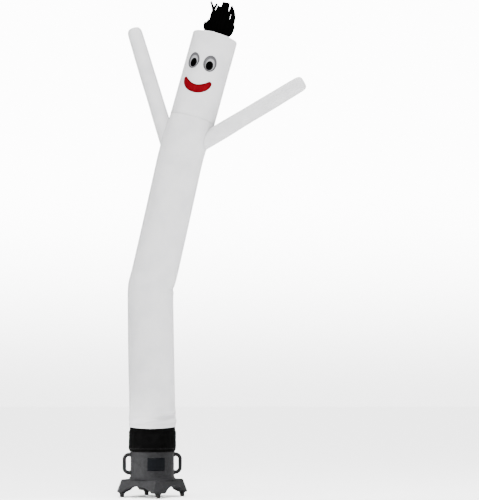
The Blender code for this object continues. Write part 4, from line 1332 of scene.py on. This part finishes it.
def make_cuff():
    """The black sleeve between the white hem and the blower, with two rows of stitches low down."""
    def place(angle, height, lift=0.0):
        radius = cuff_radius(angle, height, smooth_row(CUFF_PROFILE, height)[0])
        return polar(radius + lift, angle, height)

    stations = even(CUFF_PROFILE[0][0], CUFF_PROFILE[-1][0], 64)
    rows = [[place(angle, height) for angle in round_angles(TUBE_COLUMNS)] for height in stations]
    mesh = skin("cuff_cloth", rows, TUBE_ROUND, stations)
    piece = thicken(show("cuff_cloth", mesh, CUFF_CLOTH, ["cuff"]), CUFF_THICKNESS)
    for number, height in enumerate(CUFF_ROWS, 1):
        path = closed_path(
            lambda angle, height=height: place(angle, height, STITCH_LIFT),
            lambda angle: polar(1, angle, 0))
        thread_run("cuff_stitches_%d" % number, path, BLACK_THREAD)


# Blower


def section_columns(half, corner_half):
    """One ring of the base's section: each point across and along a quarter, with its turn added
    after. The side's points are spaced so that the arch has a column at each foot."""
    leg = corner_half * math.sqrt(2)
    reach = half - leg
    tangent = CORNER_FILLET * math.tan(math.pi / 8)
    end = reach - tangent
    sides = [-end, -(end + ARCH_HALF) / 2] + even(-ARCH_HALF, ARCH_HALF, 25) + [(end + ARCH_HALF) / 2, end]
    quarter = [(half, along) for along in sides]
    middles = ((half - CORNER_FILLET, end), (end, half - CORNER_FILLET))
    for index, (across, along) in enumerate(middles):
        for degrees in even(45 * index, 45 * index + 45, 7)[(0 if index else 1):(-1 if index else None)]:
            turn = math.radians(degrees)
            quarter.append((across + CORNER_FILLET * math.cos(turn), along + CORNER_FILLET * math.sin(turn)))
        if index == 0:
            quarter.append(((half + reach) / 2, (half + reach) / 2))
    points = []
    for side in range(4):
        turn = BLOWER_TURN + math.radians(45 + 90 * side)
        cosine, sine = math.cos(turn), math.sin(turn)
        points += [(x * cosine - y * sine, x * sine + y * cosine, y) for x, y in quarter]
    return points


def arch_height(along):
    """Height of the arch over one place along a side, measured from the side's middle."""
    return ARCH_PEAK - ARCH_RADIUS + math.sqrt(max(ARCH_RADIUS ** 2 - along ** 2, 0))


def skirt_heights(rise, lift):
    """Heights of one row of the skirt: rise is its share from the arch or the foot of the skirt to
    the base's top."""
    heights = []
    for _, _, along in section_columns(BASE_HALF[0], CORNER_HALF[0]):
        foot = SKIRT_BOTTOM
        if abs(along) < ARCH_HALF:
            foot = max(foot, arch_height(along))
        heights.append(foot + lift + (BASE_TOP - foot - lift) * rise)
    return heights


def base_ring(heights, shrink):
    """A ring of the base with a height for each column. The base's sides lean in toward its top."""
    made = []
    tables = {}
    for index, height in enumerate(heights):
        key = round(height, 5)
        if key not in tables:
            share = (height - SKIRT_BOTTOM) / (BASE_TOP - SKIRT_BOTTOM)
            half = BASE_HALF[0] + (BASE_HALF[1] - BASE_HALF[0]) * share - shrink
            corner = CORNER_HALF[0] + (CORNER_HALF[1] - CORNER_HALF[0]) * share
            tables[key] = section_columns(half, corner - shrink * 0.3)
        x, y, _ = tables[key][index]
        made.append(Vector((x, y, height)))
    return made


def barrel_outline():
    """Up the outside from the base's top, over the rim and down the inside: height and radius."""
    outline = [(BASE_TOP, FLARE_RADIUS + 0.004), (BASE_TOP + 0.0004, FLARE_RADIUS + 0.001)]
    for i in range(1, 9):
        turn = math.pi / 2 * i / 8
        outline.append((BASE_TOP + (FLARE_TOP - BASE_TOP) * (1 - math.cos(turn)),
                        BARREL + (FLARE_RADIUS - BARREL) * (1 - math.sin(turn))))
    outline += [(height, BARREL) for height in even(0.160, LOWER_BEAD - 0.0062, 8)]
    for middle, rise in ((LOWER_BEAD, 0.0036), (UPPER_BEAD, 0.0046)):
        for degrees in range(-80, 81, 20):
            turn = math.radians(degrees)
            radius = BARREL - 0.0004 + (rise + 0.0004) * math.cos(turn)
            outline.append((middle + 0.0046 * math.sin(turn), radius))
        if middle == LOWER_BEAD:
            outline += [(LOWER_BEAD + 0.0050, BAND_RADIUS), (UPPER_BEAD - 0.0050, BAND_RADIUS)]
    outline += [(UPPER_BEAD + 0.0052, BARREL - 0.0014), (RIM_TOP - 0.0030, BARREL - 0.0016)]
    for degrees in range(0, 91, 30):
        turn = math.radians(degrees)
        outline.append((RIM_TOP - 0.0020 * (1 - math.sin(turn)), BARREL - 0.0036 + 0.0020 * math.cos(turn)))
    outline += [(RIM_TOP, BARREL - WALL + 0.0010), (RIM_TOP - 0.0010, BARREL - WALL)]
    outline += [(height, BARREL - WALL) for height in even(0.350, FLARE_TOP, 8)]
    for i in range(1, 6):
        turn = math.pi / 2 * i / 6
        outline.append((FLARE_TOP - (FLARE_TOP - BASE_TOP + WALL) * math.sin(turn),
                        BARREL - WALL + (FLARE_RADIUS - BARREL) * (1 - math.cos(turn))))
    return outline


def make_housing():
    """One moulding: skirt with four arches, flat shoulders, flare, barrel with two beads, notched rim."""
    lip = SKIRT_LIP[-1][0]
    rows = [base_ring(skirt_heights(0.0, lift), shrink) for lift, shrink in SKIRT_LIP]
    rows += [base_ring(skirt_heights(rise, lip), 0.0) for rise in (0.12, 0.3, 0.5, 0.7, 0.88)]
    columns = len(rows[0])
    for degrees in range(0, 91, 18):
        turn = math.radians(degrees)
        drop, shrink = BASE_EDGE * (1 - math.sin(turn)), BASE_EDGE * (1 - math.cos(turn))
        rows.append(base_ring([BASE_TOP - drop] * columns, shrink))
    turns = [math.atan2(point.y, point.x) for point in rows[-1]]
    notches = [BLOWER_TURN + math.pi / 2 * k for k in range(4)]
    for height, radius in barrel_outline():
        row = []
        for turn in turns:
            notched = any(abs(math.remainder(turn - notch, 2 * math.pi)) < NOTCH_HALF for notch in notches)
            row.append(polar(radius, turn, min(height, RIM_TOP - NOTCH_DEPTH) if notched else height))
        rows.append(row)
    rows.append(base_ring([BASE_TOP - WALL] * columns, WALL + 0.004))
    rows += [base_ring(skirt_heights(rise, lip), WALL) for rise in (0.85, 0.5, 0.12)]
    rows += [base_ring(skirt_heights(0.0, lift), WALL - shrink) for lift, shrink in reversed(SKIRT_LIP)]
    rows.append(rows[0])
    mesh = skin("blower_shell", rows, 1.0, [0.0] * len(rows))
    tidy_mesh(mesh)
    show("blower_shell", mesh, HOUSING_SKIN, ["blower_housing"], sharp=38.0)


def underside(point):
    """Height of the crossing vaults under the base, down to the flat ends of the corner legs."""
    height = LEG_BOTTOM
    for degrees in (45, 135):
        turn = BLOWER_TURN + math.radians(degrees)
        height = max(height, arch_height(point.y * math.cos(turn) - point.x * math.sin(turn)))
    return height


def make_legs():
    """The solid corners that carry the feet, with the arches cut through between them."""
    columns = len(section_columns(BASE_HALF[0], CORNER_HALF[0]))
    foot_ring = base_ring([SKIRT_BOTTOM] * columns, LEG_SINK)
    outer = base_ring([underside(point) + 0.0003 for point in foot_ring], LEG_SINK)
    rows = [base_ring([LEG_TOP] * columns, LEG_SINK), outer]
    for share in even(0.0, 1.0, 15)[1:]:
        row = []
        for point in outer:
            hole = Vector((point.x, point.y, 0)).normalized() * LEG_HOLE
            place = Vector((point.x, point.y, 0)).lerp(hole, share)
            row.append(place + UP * underside(place))
        rows.append(row)
    rows.append([Vector((point.x, point.y, LEG_TOP)) for point in rows[-1]])
    rows.append(rows[0])
    mesh = skin("corner_legs", rows, 1.0, [0.0] * len(rows))
    tidy_mesh(mesh)
    show("corner_legs", mesh, HOUSING_SKIN, sharp=38.0)


def make_handle(hand, turn):
    """Round D handle that swells where it grows out of the barrel."""
    start = HANDLE_REACH - HANDLE_CORNER
    line = [(reach, HANDLE_TOP) for reach in even(BARREL - 0.0035, start - 0.002, 8)]
    for degrees in even(0, 90, 13):
        a = math.radians(degrees)
        line.append((start + HANDLE_CORNER * math.sin(a), HANDLE_TOP - HANDLE_CORNER * (1 - math.cos(a))))
    low = HANDLE_BOTTOM + HANDLE_CORNER
    line += [(HANDLE_REACH, height) for height in even(HANDLE_TOP - HANDLE_CORNER, low, 8)[1:-1]]
    both = line + [(reach, HANDLE_TOP + HANDLE_BOTTOM - height) for reach, height in reversed(line[:21])]
    out = polar(1, turn, 0)
    side = UP.cross(out)
    rows = []
    stations = [0.0]
    for i, (reach, height) in enumerate(both):
        before, after = both[max(i - 1, 0)], both[min(i + 1, len(both) - 1)]
        way = (out * (after[0] - before[0]) + UP * (after[1] - before[1])).normalized()
        across = side.cross(way)
        swell = 0.42 * bell(max(reach - BARREL, 0), 0.008) if reach < start else 0
        radius = HANDLE_BAR * (1 + swell)
        centre = out * reach + UP * height
        ring = []
        for a in round_angles(HANDLE_COLUMNS):
            ring.append(centre + radius * (math.cos(a) * side + math.sin(a) * across))
        rows.append(ring)
        if i:
            stations.append(stations[-1] + math.dist(both[i - 1], both[i]))
    mesh = skin("grab_handle_" + hand, rows, 0.07, stations)
    close_ends(mesh, HANDLE_COLUMNS)
    tidy_mesh(mesh)
    show("grab_handle_" + hand, mesh, HANDLE_SKIN, ["handle_" + hand])


def turned(name, outline, middle, way, columns):
    """A turned piece from its outline of radius and height, stood on a place and along one way."""
    turn = way.to_track_quat("Z", "Y")
    rows = []
    for radius, height in outline:
        reach = max(radius, 0.00002)
        rows.append([middle + turn @ polar(reach, a, height) for a in round_angles(columns)])
    return skin(name, rows, 0.05, [0.0] * len(rows))


def make_feet():
    """A rubber foot under each corner."""
    for index in range(4):
        name = "rubber_foot_%d" % (index + 1)
        middle = polar(FOOT_REACH, BLOWER_TURN + math.pi / 2 * index, 0)
        mesh = turned(name, FOOT_OUTLINE, middle, UP, 48)
        tidy_mesh(mesh)
        show(name, mesh, FOOT_RUBBER, ["foot_%d" % (index + 1)], sharp=50.0)


def make_plate():
    """A thin curved plate with round corners, flat on the barrel, made in upright columns."""
    turn = BLOWER_TURN - math.pi / 2
    middle = (PLATE_LOW + PLATE_HIGH) / 2
    straight_up = (PLATE_HIGH - PLATE_LOW) / 2 - PLATE_CORNER
    straight_across = PLATE_HALF - PLATE_CORNER
    corner = [straight_across + PLATE_CORNER * math.sin(math.radians(degrees)) for degrees in even(0, 90, 7)]
    places = even(-straight_across, straight_across, 21)[1:-1]
    rows = []
    for across in sorted(places + corner + [-place for place in corner], reverse=True):
        inset = max(abs(across) - straight_across, 0)
        half_up = straight_up + math.sqrt(max(PLATE_CORNER ** 2 - inset ** 2, 0))
        angle = turn + math.asin(across / BARREL)
        heights = [middle + half_up * share for share in even(-1.0, 1.0, 9)]
        rows.append([polar(BARREL + 0.0002, angle, height) for height in heights])
    mesh = skin("bare_plate", rows, 0.3, [0.0] * len(rows), wrap=False)
    piece = show("bare_plate", mesh, BARE_VINYL, ["label_plate"], sharp=40.0)
    thicken(piece, PLATE_THICKNESS, outward=True)


def make_rivets():
    """Domed heads in pairs over the middle of each side of the base."""
    dome = [(RIVET_RADIUS, 0.0)]
    for degrees in range(0, 91, 15):
        a = math.radians(degrees)
        reach = RIVET_RADIUS * (0.25 + 0.75 * math.cos(a)) if degrees < 90 else 0.0
        dome.append((reach, 0.0004 + 0.0016 * math.sin(a)))
    number = 0
    for quarter in range(4):
        turn = BLOWER_TURN + math.radians(90 * quarter + 45)
        way = polar(1, turn, 0)
        for height in RIVET_HEIGHTS:
            number += 1
            name = "rivet_head_%d" % number
            mesh = turned(name, dome, way * (BARREL + 0.0001) + UP * height, way, 24)
            tidy_mesh(mesh)
            show(name, mesh, RIVET_STEEL, ["rivet_%d" % number], 50.0)


# Studio


# Light of the room: the backdrop and the sides at eye height, the share of both that is left where
# they meet the floor, the walls above them and the ceiling
BACKDROP_LIGHT = 13.0
SIDE_LIGHT = 1.5
SKIRTING_SHARE = 0.33
WALL_LIGHT = 0.5
CEILING_LIGHT = 19.0

# Where each fades into the next: how far toward the backdrop, and then how far up
BACKDROP_EDGE = (0.84, 0.96)
SKIRTING_EDGE = (-0.01, 0.12)
WALL_EDGE = (0.24, 0.40)
CEILING_EDGE = (0.87, 0.95)

FLOOR_RADIUS = 60.0

# The camera: its place, its tilt up from straight down and its focal length in millimetres
CAMERA_PLACE = (0.1825, -11.4918, 0.70)
CAMERA_TILT = math.radians(94.577)
CAMERA_LENS = 125.38

# Degrees to the right of the camera, distance, height, height it is aimed at, width and height of
# the box, how widely it spreads in degrees, power
SOFTBOXES = (
    ("front softbox", 6.0, 7.0, 5.5, 1.6, 3.0, 3.0, 180.0, 1150.0),
    ("low left softbox", -66.0, 3.0, 0.5, 0.06, 0.6, 0.4, 24.0, 7.0),
    ("right back softbox", 96.0, 4.5, 2.6, 1.8, 0.8, 3.0, 180.0, 130.0),
)


def make_floor():
    """A wide sheet of paper just under the feet."""
    bm = bmesh.new()
    bmesh.ops.create_circle(bm, cap_ends=True, segments=96, radius=FLOOR_RADIUS)
    mesh = bpy.data.meshes.new("studio_floor")
    bm.to_mesh(mesh)
    bm.free()
    mesh.materials.append(PAPER)
    floor = bpy.data.objects.new("studio_floor", mesh)
    floor.location.z = -0.0005
    bpy.context.scene.collection.objects.link(floor)


def add_softbox(name, degrees, distance, above, aim, width, height, spread, power):
    """A soft light aimed at the figure, so many degrees round to the right of the camera."""
    light = bpy.data.lights.new(name, "AREA")
    light.shape = "RECTANGLE"
    light.size = width
    light.size_y = height
    light.spread = math.radians(spread)
    light.energy = power
    item = bpy.data.objects.new(name, light)
    turn = math.radians(degrees)
    item.location = (distance * math.sin(turn), -distance * math.cos(turn), above)
    item.rotation_euler = (Vector((0, 0, aim)) - item.location).to_track_quat("-Z", "Y").to_euler()
    item.visible_camera = False
    bpy.context.scene.collection.objects.link(item)


def make_studio():
    """A dim room with a bright white backdrop behind the figure and a bright ceiling over a pale floor.
    Softboxes stand in front, low on the left for the blower, and on the right."""
    make_floor()
    world = bpy.data.worlds.new("white room")
    world.use_nodes = True
    tree = world.node_tree
    tree.nodes.clear()
    way = put(tree, "ShaderNodeTexCoord").outputs["Generated"]
    parts = put(tree, "ShaderNodeSeparateXYZ", {"Vector": way})
    height = parts.outputs["Z"]
    backdrop = put(
        tree, "ShaderNodeMapRange",
        {"Value": parts.outputs["Y"], "From Min": BACKDROP_EDGE[0], "From Max": BACKDROP_EDGE[1],
         "To Min": SIDE_LIGHT, "To Max": BACKDROP_LIGHT},
        interpolation_type="SMOOTHSTEP")
    skirting = put(
        tree, "ShaderNodeMapRange",
        {"Value": height, "From Min": SKIRTING_EDGE[0], "From Max": SKIRTING_EDGE[1],
         "To Min": SKIRTING_SHARE},
        interpolation_type="SMOOTHSTEP")
    band = put(tree, "ShaderNodeMath", {0: backdrop.outputs[0], 1: skirting.outputs[0]}, operation="MULTIPLY")
    walls = put(
        tree, "ShaderNodeMapRange",
        {"Value": height, "From Min": WALL_EDGE[0], "From Max": WALL_EDGE[1],
         "To Min": band.outputs[0], "To Max": WALL_LIGHT},
        interpolation_type="SMOOTHSTEP")
    ceiling = put(
        tree, "ShaderNodeMapRange",
        {"Value": height, "From Min": CEILING_EDGE[0], "From Max": CEILING_EDGE[1],
         "To Min": 0.0, "To Max": CEILING_LIGHT},
        interpolation_type="SMOOTHSTEP")
    room = put(tree, "ShaderNodeMath", {0: walls.outputs[0], 1: ceiling.outputs[0]}, operation="ADD")
    background = put(tree, "ShaderNodeBackground", {"Color": linear("#FFFFFF"), "Strength": room.outputs[0]})
    put(tree, "ShaderNodeOutputWorld", {"Surface": background.outputs["Background"]})
    bpy.context.scene.world = world
    for softbox in SOFTBOXES:
        add_softbox(*softbox)


def make_camera():
    """Sees the figure from where the photo was taken."""
    camera = bpy.data.cameras.new("camera")
    camera.lens = CAMERA_LENS
    camera.sensor_width = 36.0
    item = bpy.data.objects.new("camera", camera)
    item.location = CAMERA_PLACE
    item.rotation_euler = (CAMERA_TILT, 0, 0)
    bpy.context.scene.collection.objects.link(item)
    bpy.context.scene.camera = item


make_camera()
make_studio()
body_cloth = make_body()
head_cloth = make_head()
sleeves = {}
roots = {}
for side, arm, seed in ARMS:
    sleeves[side], roots[side] = make_sleeve(side, arm, seed)
seams = make_seams(roots)
make_housing()
make_legs()
make_cuff()
make_eyes()
make_mouth()
make_hair()
make_handle("right", BLOWER_TURN)
make_handle("left", BLOWER_TURN + math.pi)
make_feet()
make_plate()
make_rivets()
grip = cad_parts["grip_band"]
grip.data.materials.clear()
grip.data.materials.append(GRIP_STRIP)
